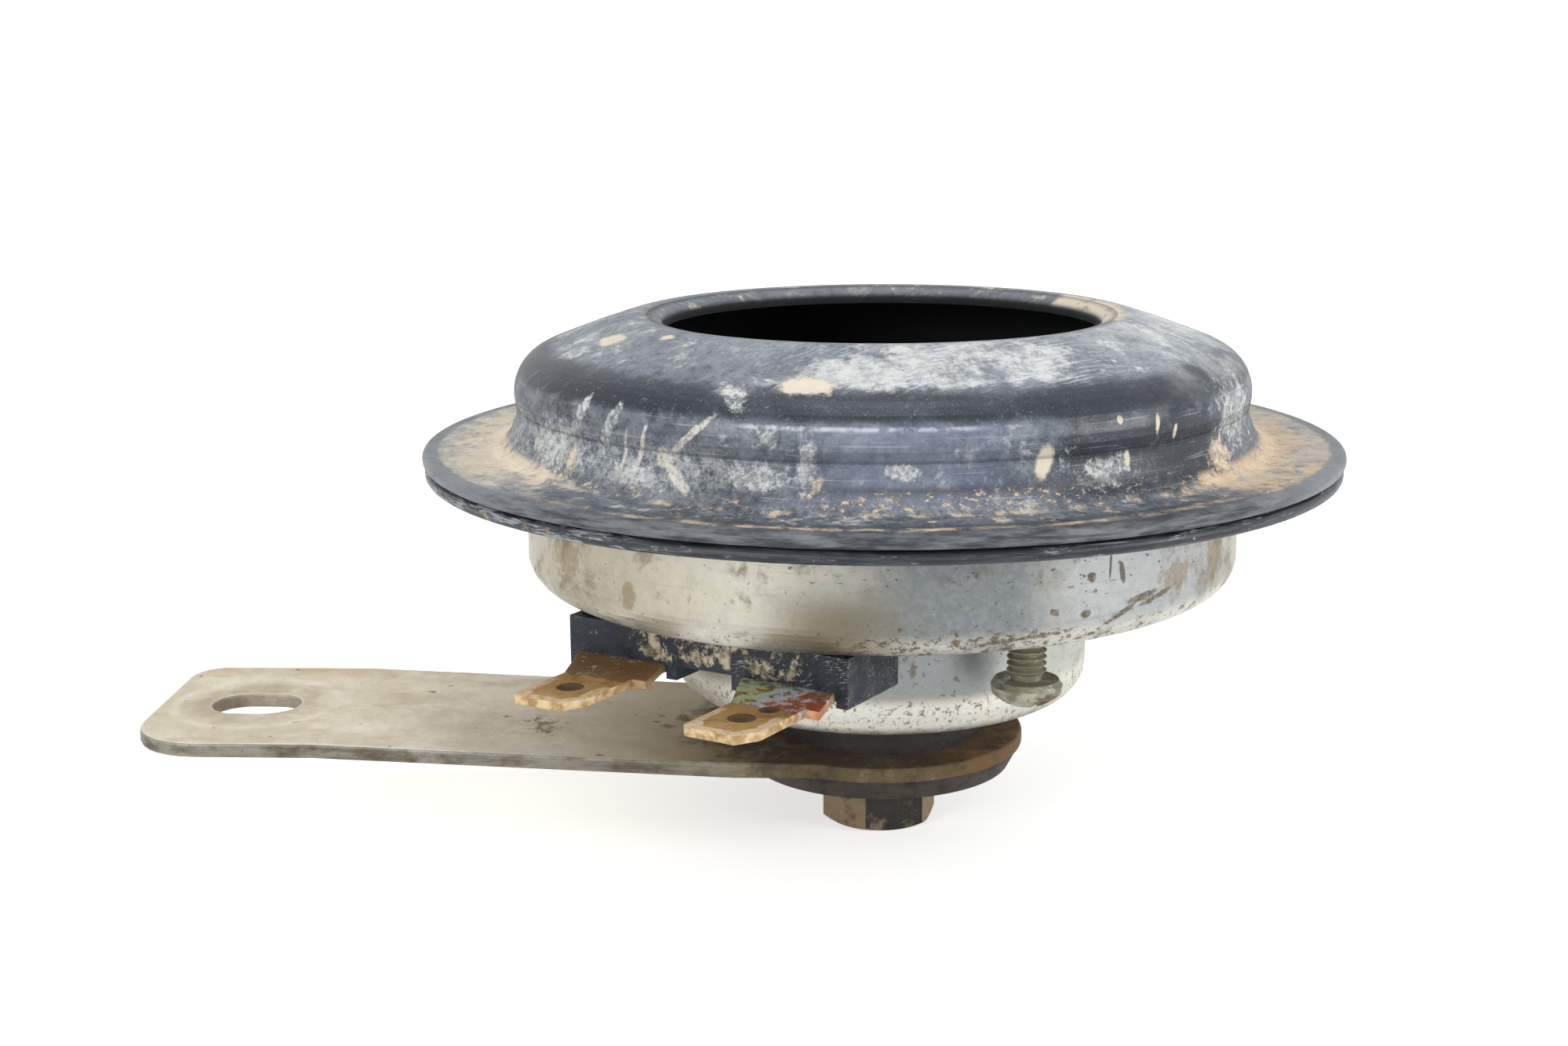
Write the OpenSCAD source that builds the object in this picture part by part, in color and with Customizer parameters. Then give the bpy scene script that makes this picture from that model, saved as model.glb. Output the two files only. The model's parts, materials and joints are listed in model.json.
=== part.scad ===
// Electric disc horn with a domed sound cover, on a flat steel bracket.
// Millimetres, +Z up through the sound opening.
// The origin is the middle of the bracket's slot, on the seat under the strip.
// The strip runs along +Y to the stud, and the terminals leave the case near +X.

/* [Rim] */
// Radius of the rim, the widest part of the horn
rim_r = 43.5; // [42.6:0.1:46]
// How much smaller the lower bead is than the upper one
rim_step = 0.2; // [0:0.1:0.4]
// Groove between the two beads of the rim
rim_groove = 0.15; // [0.1:0.05:0.4]
// Width of the beads outside the clamped sheets
rim_bead_w = 1.4; // [1.2:0.1:1.6]
// Rounding of the beads
rim_bead_round = 0.5; // [0.2:0.05:0.5]
// Sheet of the ring that is crimped under the case's flange
ring_t = 0.4; // [0.3:0.05:0.8]
// Width of the ring's leg under the flange
ring_leg_w = 3; // [2:0.5:3.5]

/* [Sound cover] */
// Sheet of the cover
cover_t = 0.7; // [0.5:0.05:0.9]
// Radius of the sound opening
opening_r = 20.65; // [18:0.25:22]
// Bend of the rolled lip round the opening
lip_bend = 1.3; // [1.1:0.05:1.8]
// Bend of the brow, the highest ring of the crown
brow_bend = 5; // [4:0.25:7]
// Distance of the highest ring from the opening's edge
brow_w = 2.35; // [1.8:0.05:3]
// Bend of the crown between lip and shoulder
crown_bend = 100; // [80:5:120]
// Angle at which the crown turns into the shoulder
crown_break = 68; // [64:1:70]
// Widest radius of the shoulder
shoulder_r = 34.8; // [34.4:0.1:35.2]
// Height of the shoulder's widest line over the rim
shoulder_h = 5.2; // [4.8:0.1:6.5]
// Bend of the shoulder
shoulder_bend = 4.2; // [3.4:0.1:4.6]
// Bend of the waist under the shoulder
waist_bend = 2.5; // [2:0.25:3.5]
// Angle by which the shoulder is undercut
waist_undercut = 14; // [8:1:18]
// Lean of the skirt from upright
skirt_lean = 20; // [16:1:24]
// Bend between skirt and flange
foot_bend = 2.5; // [2:0.1:2.7]

/* [Diaphragm] */
// Thickness of the diaphragm
diaphragm_t = 0.25; // [0.2:0.05:0.4]
// Thickness of each gasket
gasket_t = 0.15; // [0.1:0.05:0.3]
// Width of the gaskets
gasket_w = 4.15; // [3:0.05:4.2]
// Height of the diaphragm's ring-shaped wave
wave_h = 0.7; // [0.4:0.1:0.9]
// Mid radius of the wave
wave_r = 28; // [24:1:30]
// Width of the wave
wave_w = 7; // [5:0.5:8]

/* [Case] */
// Sheet of the case
case_t = 0.8; // [0.6:0.05:1]
// Outer radius of the case's wide part
case_r = 33.9; // [33.4:0.1:34.6]
// Depth of the wide part under the rim
case_depth = 12.9; // [12.4:0.1:14]
// Lower corner of the wide part
case_corner = 2.7; // [2:0.1:3.5]
// Bend between flange and wide part
case_neck = 1.5; // [1:0.1:2]
// How much smaller the coil can's radius is than the case's
can_step = 13.9; // [13.5:0.1:14.4]
// Depth of the coil can under the rim
can_depth = 24.35; // [24:0.1:27]
// Lower corner of the coil can
can_corner = 3; // [2.5:0.1:3.6]
// Bend between wide part and coil can
can_neck = 1; // [0.8:0.1:1.4]

/* [Electromagnet] */
// Radius of the iron core
core_r = 6.3; // [5.5:0.1:6.5]
// Height of the core over the can's floor
core_h = 8.5; // [8:0.1:9.5]
// Gap between core and armature at rest
air_gap = 1; // [1:0.05:1.3]
// How much slimmer the armature's plunger is than the core
plunger_step = 0.2; // [0.1:0.05:0.4]
// Radius of the armature's head under the diaphragm
armature_head_r = 10.5; // [10:0.1:11]
// Thickness of the armature's head
armature_head_t = 2.2; // [1.8:0.1:2.4]
// Radial room between the bobbin's bore and the core
bobbin_gap = 0.3; // [0.3:0.05:0.5]
// Wall of the bobbin's hub
bobbin_hub_t = 0.9; // [0.7:0.1:1.2]
// Room between the bobbin's cheeks and the bend of the can
bobbin_room = 0.3; // [0.2:0.1:1]
// Thickness of the bobbin's cheeks
bobbin_cheek_t = 1.2; // [1:0.1:1.5]
// Room between the bobbin and the moving contact spring
bobbin_top_room = 1.75; // [1.7:0.05:3]
// How far the winding stays inside the cheeks
winding_inset = 0.9; // [0.5:0.1:2]

/* [Tone disc] */
// Radius of the threaded stem on the armature
stem_r = 2.5; // [2:0.1:2.8]
// Radial play of pieces on the stem
stem_play = 0.1; // [0.05:0.05:0.2]
// Height of the spacer between diaphragm and tone disc
disc_spacer_h = 2.45; // [2.2:0.05:3]
// Radius of that spacer
disc_spacer_r = 6; // [5:0.25:7]
// Radius of the tone disc
disc_r = 30.5; // [28:0.5:31.5]
// Sheet of the tone disc
disc_t = 1; // [0.8:0.1:1.2]
// Step between the tone disc's hub and its plate
disc_step_h = 1.6; // [1:0.1:2]
// Radius at which the step starts
disc_hub_r = 9; // [8:0.5:11]
// Width of the step and of the turned-down edge
disc_step_w = 3; // [2:0.5:4]
// Thickness of the spring washer on the tone disc
lock_washer_t = 1.2; // [1:0.1:1.4]
// Nut on the tone disc, across its flats
disc_nut_af = 8; // [7:0.5:9]
// Height of that nut
disc_nut_h = 3; // [2.5:0.1:3.2]

/* [Contact breaker] */
// Width of both contact springs
spring_w = 5.8; // [5:0.1:6]
// Thickness of the moving contact spring
moving_spring_t = 0.3; // [0.2:0.05:0.4]
// Thickness of the fixed contact spring
fixed_spring_t = 0.4; // [0.3:0.05:0.5]
// Height of each contact point
contact_h = 0.8; // [0.7:0.05:0.9]
// Radius of each contact point
contact_r = 1.6; // [1.3:0.1:1.8]
// Height of the moving spring over the case's floor
breaker_rise = 3.9; // [3.8:0.05:4.2]
// Distance from the adjuster to the contact points
contact_reach = 6; // [5.4:0.1:6.2]
// Distance from the adjuster to the springs' clamped end
clamp_reach = 8.2; // [8:0.1:8.6]
// Length of the clamped stack
stack_l = 5.6; // [5.2:0.1:6]
// Thickness of the stack's base plate
base_t = 1.2; // [1:0.1:1.4]
// Thickness of the stack's clamp plate
clamp_t = 0.8; // [0.6:0.1:1]
// Thickness of the top insulator
top_insulator_t = 0.7; // [0.5:0.1:0.9]
// Radius of the stack's rivets
stack_rivet_r = 0.9; // [0.7:0.05:1]
// Radius of the fibre post that the armature pushes
post_r = 1.2; // [1:0.05:1.2]
// Gap between post and armature at rest
post_gap = 0.3; // [0.25:0.05:0.4]

/* [Adjusting screw] */
// Distance of the screw's middle from the case's outer face
screw_from_wall = 8.83; // [8.6:0.1:9.2]
// Direction of the screw seen from the axis
screw_angle = 31; // [28:1:34]
// Crest radius of the screw's thread
screw_r = 1.75; // [1.6:0.05:1.9]
// Pitch of the thread
screw_pitch = 0.6; // [0.5:0.05:0.7]
// Length of thread that stands out of the case
screw_out = 4.8; // [3:0.1:6]
// Radius of the screw's head
screw_head_r = 3.15; // [2.8:0.05:3.4]
// Height of the head
screw_head_h = 2.5; // [2:0.1:2.8]
// Width of the slot in the head
screw_slot_w = 0.9; // [0.7:0.1:1.1]
// Depth of that slot
screw_slot_d = 1.1; // [0.8:0.1:1.3]
// Radial play of the thread in its bush
screw_play = 0.05; // [0.02:0.01:0.1]
// Outer radius of the bush
bush_r = 3.4; // [3:0.1:3.5]
// Radius of the bush's spigot in the case's floor
bush_spigot_r = 2.6; // [2.4:0.1:2.8]
// Height of the bush over the case's floor
bush_h = 2.5; // [2:0.1:2.6]

/* [Terminals] */
// Direction of the terminals seen from the axis
terminal_angle = -29; // [-33:1:-27]
// Distance between the two blades
terminal_pitch = 17.2; // [17:0.1:17.6]
// Width of a blade
blade_w = 6.3; // [6.2:0.1:6.4]
// Thickness of a blade
blade_t = 0.8; // [0.8:0.1:1]
// Length of a blade
blade_l = 8.8; // [8:0.1:9.4]
// Radius of the blade's latch hole
blade_hole_r = 1.05; // [0.8:0.05:1.2]
// Distance of the latch hole from the tip
blade_hole_in = 4.2; // [3.8:0.1:4.6]
// Width of the chamfer at the tip's right corner
blade_chamfer = 1.2; // [0.6:0.1:1.6]
// Length of that chamfer
blade_chamfer_l = 2; // [1:0.1:2.4]
// Chamfer at the tip's left corner
blade_corner = 0.5; // [0.2:0.1:1]
// How far the blade's middle lies to the right of its root's
blade_offset = 0.65; // [0.4:0.05:0.8]
// How far the blades' tips stand out of the block's front
blade_out = 13.9; // [13.2:0.1:14.7]
// Half width of the terminal's root on its left
root_left = 5.4; // [5:0.1:5.5]
// Length of the slanted edge from the root's left side to the blade
root_slant_l = 6; // [5:0.1:7]
// Half width of the root on its right
root_right = 3.7; // [3.5:0.1:4]
// Half width of the shoulder outside the block, on the right
root_shoulder = 5.2; // [4.6:0.1:5.4]
// Radius of the small hole in the right terminal
pilot_r = 0.75; // [0.5:0.05:0.9]
// Radius of the terminal rivets
terminal_rivet_r = 1.4; // [1.2:0.05:1.5]
// Radius of their outer heads
terminal_rivet_head_r = 2.4; // [2.2:0.1:2.5]

/* [Terminal block] */
// How far the block's front lies inside the case's outer face
block_inset = 4.1; // [3.8:0.1:4.4]
// Depth of the block between its ends
block_depth = 6.4; // [5.8:0.1:6.6]
// Depth of the block's ends, which reach back on both sides of the can
block_end_depth = 10; // [8:0.25:10.25]
// Width of the ends behind the beam
block_end_w = 3.4; // [3:0.1:3.8]
// Thickness of the block's beam
block_beam_t = 3.1; // [2.6:0.1:3.4]
// How far the block's walls hang under the beam
block_wall_drop = 1.3; // [1.1:0.1:1.6]
// Thickness of the block's walls
block_wall_t = 1.1; // [0.9:0.1:1.1]
// Rounding of the block's rear corners
block_round = 1.6; // [0.8:0.1:2]
// Room between a terminal's root and the walls
block_room = 0.1; // [0.05:0.05:0.15]

/* [Bracket] */
// Thickness of the bracket
strip_t = 1.5; // [1.2:0.1:2]
// Width of the strip
strip_w = 25.6; // [20:0.2:27]
// Radius of the eye round the stud
eye_r = 14; // [13.6:0.1:16]
// Distance from the slot to the stud
slot_to_stud = 62.2; // [56:0.2:80]
// Length of the strip beyond the middle of the slot
strip_end = 9.6; // [8:0.2:14]
// Rounding of the strip's free corner on the side of the terminals
strip_round_near = 7; // [2:0.5:8]
// Rounding of the other free corner
strip_round_far = 3.5; // [2:0.5:8]
// Length of the slot, end to end
slot_l = 8.7; // [8:0.1:12]
// Width of the slot, for an M6 screw
slot_w = 6.4; // [6.2:0.1:6.8]
// How far the seat lies above the eye
joggle_h = 1.6; // [0.8:0.1:2.4]
// Length of the flat seat, from the slot's middle towards the stud
seat_l = 8.7; // [8:0.1:14]
// Distance from the stud to the start of the rise
joggle_from = 13.7; // [13.7:0.1:20]

/* [Stud and fasteners] */
// Radius of the M6 stud
stud_r = 3; // [2.5:0.1:3.2]
// Radial play of the bracket on the stud
swivel_play = 0.1; // [0.05:0.01:0.1]
// Height of the spacer between case and bracket
spacer_h = 4.45; // [3:0.1:6]
// Radius of the spacer
spacer_r = 10; // [8:0.25:12]
// Upper radius of the dished washer
dish_r = 13.5; // [12:0.1:13.6]
// Radius of the dished washer's bottom
dish_bottom_r = 10.2; // [9:0.1:10.8]
// Height of the dished washer
dish_h = 2.8; // [2:0.1:3.5]
// Sheet of the dished washer
dish_t = 1.2; // [1:0.1:1.4]
// Nut on the stud, across its flats
nut_af = 10; // [9.6:0.1:11]
// Height of the nut
nut_h = 5.1; // [4.5:0.1:6]
// Turn of the nut's flats about the stud
nut_turn = 47; // [0:1:60]
// How far the stud stays inside the nut
stud_inset = 0.6; // [0:0.1:1]
// Play of a nut on its thread
thread_play = 0.05; // [0.02:0.01:0.1]

/* [Wires] */
// Radius of the wires
wire_r = 0.45; // [0.35:0.05:0.5]

/* [Hidden] */
// Radii that follow the case
can_r = case_r - can_step;
screw_from_axis = case_r - screw_from_wall;
block_front = case_r - block_inset;
blade_tip = block_front + blade_out;
// Levels along the horn's axis, from the rim's top face down
z_front_gasket = -cover_t;
z_diaphragm = z_front_gasket - gasket_t;
z_rear_gasket = z_diaphragm - diaphragm_t;
z_case_flange = z_rear_gasket - gasket_t;
z_ring_leg = z_case_flange - case_t;
z_rim_bottom = z_ring_leg - ring_t;
z_floor = case_t - case_depth;
z_can_floor = case_t - can_depth;
z_head_bottom = z_rear_gasket - armature_head_t;
z_core_top = z_can_floor + core_h;
z_disc = z_diaphragm + disc_spacer_h;
z_moving_spring = z_floor + breaker_rise;
z_cheek_top = z_moving_spring - bobbin_top_room;
z_contact_split = z_moving_spring + moving_spring_t + contact_h;
z_fixed_spring = z_contact_split + contact_h;
z_stack_top = z_fixed_spring + fixed_spring_t + top_insulator_t + clamp_t;
z_bush_top = z_floor + bush_h;
z_screw_tip = z_bush_top + 0.4;
z_screw_head = -case_depth - screw_out;
z_bracket_top = -can_depth - spacer_h;
z_dish_top = z_bracket_top - strip_t;
z_nut_top = z_dish_top - dish_h;
z_nut_bottom = z_nut_top - nut_h;
// The strip's seat is at height zero, so this is the rim's height over it
rim_z = strip_t - joggle_h - z_bracket_top;
bead_in_r = rim_r - rim_bead_w;
clamped_r = bead_in_r - 0.05;
bead_h = (-z_rim_bottom - rim_groove) / 2;
plunger_r = core_r - plunger_step;
bobbin_r = can_r - can_corner - bobbin_room;
// Both leads of the coil come up through the bobbin's cheek here
lead_r = bobbin_r - 2.2;
core_bore = stud_r + swivel_play;
// Terminals: the root's underside, the rivets' place and the block's walls
z_root_top = -case_depth - block_beam_t;
root_back = block_front - block_depth + 0.4;
rivet_u = block_front - block_depth / 2 - 0.2;
blade_root = blade_tip - blade_l;
channels = [-terminal_pitch / 2, terminal_pitch / 2];
insulator_t = 0.8;
lug_t = 0.5;
z_lug_top = z_floor + insulator_t + lug_t;
lug_r = 3.3;
rivet_head_t = 1;
inner_head_r = terminal_rivet_head_r - 0.4;
// The contact springs lie along the tangent through the adjusting screw
finger_t = -3;
post_rho = sqrt(pow((plunger_r + armature_head_r) / 2, 2) - pow(finger_t, 2));
// The stack's two rivets, from the screw's axis, and the springs' solder tabs
stack_rivets = [[-2, clamp_reach + 1.6], [0.2, clamp_reach + stack_l - 1.6]];
tab_t = clamp_reach + stack_l + 1.1;
inner_tab = -2;
outer_tab = 1.2;
small = 0.01;

// Points along an arc about c, from angle a to angle b
function arc(c, r, a, b, n = 8) = [for (i = [0 : n]) let (t = a + (b - a) * i / n) c + r * [cos(t), sin(t)]];
function reversed(list) = [for (i = [len(list) - 1 : -1 : 0]) list[i]];
// A pressed sheet's outline: its outer face, then its inner face back again
function sheet(outer, inner) = concat(outer, reversed(inner));
function polar(r, a) = [r * cos(a), r * sin(a)];
// Places in the breaker: rho outwards through the screw, t along the springs
function breaker(rho, t) = rho * polar(1, screw_angle) + t * polar(1, screw_angle + 90);
// Places at the terminals: u outwards, v across
function terminal(u, v) = u * polar(1, terminal_angle) + v * polar(1, terminal_angle + 90);

// The horn's own frame: its axis, with the rim's top face at height zero
module horn() { translate([0, slot_to_stud, rim_z]) children(); }
module turned(points) { rotate_extrude($fn = 96) polygon(points); }
module tube(r_out, r_in, z0, z1) {
    translate([0, 0, z0]) difference() {
        cylinder(r = r_out, h = z1 - z0, $fn = 64);
        translate([0, 0, -1]) cylinder(r = r_in, h = z1 - z0 + 2, $fn = 64);
    }
}
module at(p, z = 0) { translate([p[0], p[1], z]) children(); }
// The frame of the contact springs, with the screw's axis at its origin
module breaker_frame() { horn() at(breaker(screw_from_axis, 0)) rotate([0, 0, screw_angle]) children(); }
// The frame of the terminals, with +X outwards
module terminal_frame() { horn() rotate([0, 0, terminal_angle]) children(); }

// The cover's face at a depth d inside its outer one, from the flange to the lip
shoulder_c = [shoulder_r - shoulder_bend, shoulder_h];
crown_c = shoulder_c - (crown_bend - shoulder_bend) * polar(1, crown_break);
brow_angle = acos((opening_r + brow_w - crown_c[0]) / (crown_bend - brow_bend));
brow_c = crown_c + (crown_bend - brow_bend) * polar(1, brow_angle);
lip_angle = acos((lip_bend - brow_w) / (brow_bend - lip_bend));
lip_c = brow_c + (brow_bend - lip_bend) * polar(1, lip_angle);
waist_c = shoulder_c + (shoulder_bend + waist_bend) * polar(1, -waist_undercut);
waist_end = waist_c + waist_bend * polar(1, 180 + skirt_lean);
skirt_l = (waist_end[1] - foot_bend * (1 - sin(skirt_lean))) / cos(skirt_lean);
foot_c = [waist_end[0] + skirt_l * sin(skirt_lean) + foot_bend * cos(skirt_lean), foot_bend];
function cover_face(d) = concat(
    arc(foot_c, foot_bend + d, 270, 180 + skirt_lean, 6),
    arc(waist_c, waist_bend + d, 180 + skirt_lean, 180 - waist_undercut, 5),
    arc(shoulder_c, shoulder_bend - d, -waist_undercut, crown_break, 8),
    arc(crown_c, crown_bend - d, crown_break, brow_angle, 8),
    arc(brow_c, brow_bend - d, brow_angle, lip_angle, 4),
    arc(lip_c, lip_bend - d, lip_angle, 190, 6)
);

module sound_cover() {
    bead = concat(
        [[bead_in_r, -cover_t], [bead_in_r, -bead_h]],
        arc([rim_r - rim_bead_round, rim_bead_round - bead_h], rim_bead_round, 270, 360, 4),
        arc([rim_r - rim_bead_round, -rim_bead_round], rim_bead_round, 0, 90, 4)
    );
    color([0.10, 0.11, 0.13]) horn() turned(concat(bead, sheet(cover_face(0), cover_face(cover_t))));
}

module rim_ring() {
    r = rim_r - rim_step;
    top = -bead_h - rim_groove;
    outline = concat(
        [[bead_in_r - ring_leg_w, z_rim_bottom]],
        arc([r - rim_bead_round, z_rim_bottom + rim_bead_round], rim_bead_round, 270, 360, 4),
        arc([r - rim_bead_round, top - rim_bead_round], rim_bead_round, 0, 90, 4),
        [[bead_in_r, top], [bead_in_r, z_ring_leg], [bead_in_r - ring_leg_w, z_ring_leg]]
    );
    color([0.09, 0.10, 0.12]) horn() turned(outline);
}

module gasket(z) { color([0.25, 0.22, 0.18]) horn() tube(clamped_r, clamped_r - gasket_w, z - gasket_t, z); }
module front_gasket() { gasket(z_front_gasket); }
module rear_gasket() { gasket(z_rear_gasket); }

module diaphragm() {
    steps = 12;
    wave = [for (i = [0 : steps]) let (s = i / steps)
        [wave_r + wave_w * (s - 0.5), wave_h * (1 - cos(360 * s)) / 2]];
    face = concat([[stem_r + stem_play, 0]], wave, [[clamped_r, 0]]);
    outline = sheet([for (p = face) p + [0, z_rear_gasket]], [for (p = face) p + [0, z_diaphragm]]);
    color([0.55, 0.57, 0.60]) horn() turned(outline);
}

// The case's face at a depth d inside its outer one, from the flange to the stud's hole
function case_face(d) = concat(
    [[clamped_r, z_ring_leg + d]],
    arc([case_r + case_neck, z_ring_leg - case_neck], case_neck + d, 90, 180, 6),
    arc([case_r - case_corner, case_corner - case_depth], case_corner - d, 0, -90, 8),
    arc([can_r + can_neck, -case_depth - can_neck], can_neck + d, 90, 180, 5),
    arc([can_r - can_corner, can_corner - can_depth], can_corner - d, 0, -90, 8),
    [[core_bore, d - can_depth]]
);

module case_shell() {
    color([0.76, 0.74, 0.68]) horn() difference() {
        turned(sheet(case_face(0), case_face(case_t)));
        at(breaker(screw_from_axis, 0), -case_depth - 1)
            cylinder(r = bush_spigot_r + small, h = case_t + 2, $fn = 48);
        for (v = channels) at(terminal(rivet_u, v), -case_depth - 1)
            cylinder(r = terminal_rivet_head_r + small, h = case_t + 2, $fn = 48);
    }
}

module pole_core() {
    stud_end = z_nut_bottom + stud_inset;
    color([0.40, 0.38, 0.36]) horn() union() {
        translate([0, 0, z_can_floor]) cylinder(r = core_r, h = core_h, $fn = 64);
        translate([0, 0, stud_end]) cylinder(r = stud_r, h = z_can_floor - stud_end + 1, $fn = 64);
    }
}

module coil_bobbin() {
    bore = core_r + bobbin_gap;
    hub = bore + bobbin_hub_t;
    outline = [
        [bore, z_can_floor], [bobbin_r, z_can_floor], [bobbin_r, z_can_floor + bobbin_cheek_t],
        [hub, z_can_floor + bobbin_cheek_t], [hub, z_cheek_top - bobbin_cheek_t],
        [bobbin_r, z_cheek_top - bobbin_cheek_t], [bobbin_r, z_cheek_top], [bore, z_cheek_top]
    ];
    color([0.85, 0.82, 0.72]) horn() turned(outline);
}

module coil_winding() {
    hub = core_r + bobbin_gap + bobbin_hub_t + 0.05;
    bottom = z_can_floor + bobbin_cheek_t;
    color([0.62, 0.30, 0.14]) horn() tube(bobbin_r - winding_inset, hub, bottom, z_cheek_top - bobbin_cheek_t);
}

module armature() {
    bottom = z_core_top + air_gap;
    stem_top = z_disc + disc_t + lock_washer_t + disc_nut_h + 0.6;
    outline = [
        [0, bottom], [plunger_r, bottom], [plunger_r, z_head_bottom], [armature_head_r, z_head_bottom],
        [armature_head_r, z_rear_gasket], [stem_r, z_rear_gasket], [stem_r, stem_top], [0, stem_top]
    ];
    color([0.45, 0.44, 0.42]) horn() turned(outline);
}

module disc_spacer() {
    color([0.70, 0.68, 0.62]) horn() tube(disc_spacer_r, stem_r + stem_play, z_diaphragm, z_disc);
}

module tone_disc() {
    rise = [[disc_hub_r, 0], [disc_hub_r + disc_step_w, disc_step_h]];
    edge = [[disc_r - disc_step_w, disc_step_h], [disc_r, disc_step_h / 2]];
    face = concat([[stem_r + stem_play, 0]], rise, edge);
    outline = sheet([for (p = face) p + [0, z_disc]], [for (p = face) p + [0, z_disc + disc_t]]);
    color([0.62, 0.63, 0.65]) horn() turned(outline);
}

module disc_lock_washer() {
    gap_w = 0.8;
    color([0.45, 0.45, 0.47]) horn() difference() {
        tube(stem_r + 1.9, stem_r + stem_play, z_disc + disc_t, z_disc + disc_t + lock_washer_t);
        translate([0, -gap_w / 2, z_disc]) cube([stem_r + 4, gap_w, lock_washer_t + 4]);
    }
}

// A hexagon nut on the Z axis, with its corners chamfered at both ends
module hex_nut(af, h, bore) {
    corner_r = af / sqrt(3);
    chamfer = (corner_r - af / 2) * 0.6;
    difference() {
        intersection() {
            cylinder(r = corner_r, h = h, $fn = 6);
            turned([
                [0, 0], [corner_r - chamfer * 1.7, 0], [corner_r + small, chamfer],
                [corner_r + small, h - chamfer], [corner_r - chamfer * 1.7, h], [0, h]
            ]);
        }
        translate([0, 0, -1]) cylinder(r = bore, h = h + 2, $fn = 64);
    }
}

module disc_nut() {
    color([0.60, 0.56, 0.42]) horn()
        translate([0, 0, z_disc + disc_t + lock_washer_t])
            hex_nut(disc_nut_af, disc_nut_h, stem_r + thread_play);
}

module adjuster_bush() {
    color([0.66, 0.55, 0.30]) breaker_frame() difference() {
        union() {
            translate([0, 0, z_floor]) cylinder(r = bush_r, h = bush_h, $fn = 48);
            translate([0, 0, -case_depth]) cylinder(r = bush_spigot_r, h = case_t + 1, $fn = 48);
        }
        translate([0, 0, -case_depth - 1])
            cylinder(r = screw_r + screw_play, h = case_t + bush_h + 2, $fn = 48);
    }
}

// The thread is drawn as rings of its own pitch between a plain neck and a plain tip
module adjusting_screw() {
    root_r = screw_r - screw_pitch * 0.6;
    neck = 0.5;
    turns = floor((z_screw_tip - z_screw_head - 2 * neck) / screw_pitch);
    ridges = [for (i = [0 : turns - 1], p = [[0.05, 0], [0.45, 1], [0.6, 1], [0.98, 0]])
        [root_r + (screw_r - root_r) * p[1], z_screw_head + neck + screw_pitch * (i + p[0])]];
    dome_r = (pow(screw_head_r, 2) + pow(screw_head_h * 0.55, 2)) / (2 * screw_head_h * 0.55);
    dome_a = asin((screw_head_r - 0.1) / dome_r);
    dome = arc([0, z_screw_head - screw_head_h + dome_r], dome_r, -90, dome_a - 90, 7);
    outline = concat(
        dome,
        [[screw_head_r, z_screw_head - 0.5], [screw_head_r - 0.3, z_screw_head], [root_r, z_screw_head]],
        ridges,
        [[root_r, z_screw_tip - neck], [screw_r, z_screw_tip - neck]],
        [[screw_r - 0.3, z_screw_tip], [0, z_screw_tip]]
    );
    color([0.70, 0.70, 0.62]) breaker_frame() difference() {
        turned(outline);
        translate([-screw_head_r - 1, -screw_slot_w / 2, z_screw_head - screw_head_h - 1])
            cube([2 * screw_head_r + 2, screw_slot_w, screw_slot_d + 1]);
    }
}

module adjuster_cap() {
    r = screw_r - 0.15;
    dome_r = 2.4;
    drop = dome_r - sqrt(pow(dome_r, 2) - pow(r, 2));
    top = z_fixed_spring - 0.05;
    dome_a = asin(r / dome_r);
    dome = arc([0, top - dome_r], dome_r, 90 - dome_a, 90, 5);
    outline = concat([[0, z_screw_tip], [r, z_screw_tip], [r, top - drop]], dome);
    color([0.55, 0.30, 0.16]) breaker_frame() turned(outline);
}

// Flat springs: across is radial, and the clamped end lies towards +Y
module spring_blank(t, tab_x) {
    tip = contact_reach + contact_r + 0.8;
    translate([-spring_w / 2 - 0.4, -tip, 0]) cube([spring_w, tip + clamp_reach + stack_l, t]);
    translate([tab_x - 1, clamp_reach + stack_l - small, 0]) cube([2, 2.2, t]);
}

module stack_holes(z0, h) {
    for (p = stack_rivets) at(p, z0) cylinder(r = stack_rivet_r, h = h, $fn = 32);
}

module fixed_contact_spring() {
    color([0.72, 0.52, 0.26]) breaker_frame() translate([0, 0, z_fixed_spring]) difference() {
        spring_blank(fixed_spring_t, inner_tab);
        stack_holes(-1, 3);
    }
}

module moving_contact_spring() {
    inner = post_rho - screw_from_axis - post_r - 0.3;
    color([0.74, 0.55, 0.30]) breaker_frame() translate([0, 0, z_moving_spring]) difference() {
        union() {
            spring_blank(moving_spring_t, outer_tab);
            translate([inner, finger_t - 1.6, 0]) cube([-inner - spring_w / 2, 3.2, moving_spring_t]);
        }
        stack_holes(-1, 3);
        translate([0, 0, -1]) cylinder(r = screw_r + 0.2, h = 3, $fn = 48);
        translate([-screw_from_axis, 0, -1]) cylinder(r = plunger_r + 0.4, h = 3, $fn = 64);
    }
}

module contact_disc(z) {
    color([0.80, 0.80, 0.82]) breaker_frame()
        translate([-0.4, -contact_reach, z]) cylinder(r = contact_r, h = contact_h, $fn = 32);
}
module moving_contact() { contact_disc(z_moving_spring + moving_spring_t); }
module fixed_contact() { contact_disc(z_contact_split); }

module pusher_post() {
    z0 = z_moving_spring + moving_spring_t;
    h = z_head_bottom - post_gap - z0;
    color([0.50, 0.26, 0.14]) breaker_frame()
        translate([post_rho - screw_from_axis, finger_t, z0]) cylinder(r = post_r, h = h, $fn = 32);
}

module stack_plate(z0, z1, w = spring_w) {
    translate([-spring_w / 2 - 0.4, clamp_reach, z0]) cube([w, stack_l, z1 - z0]);
}

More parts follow.
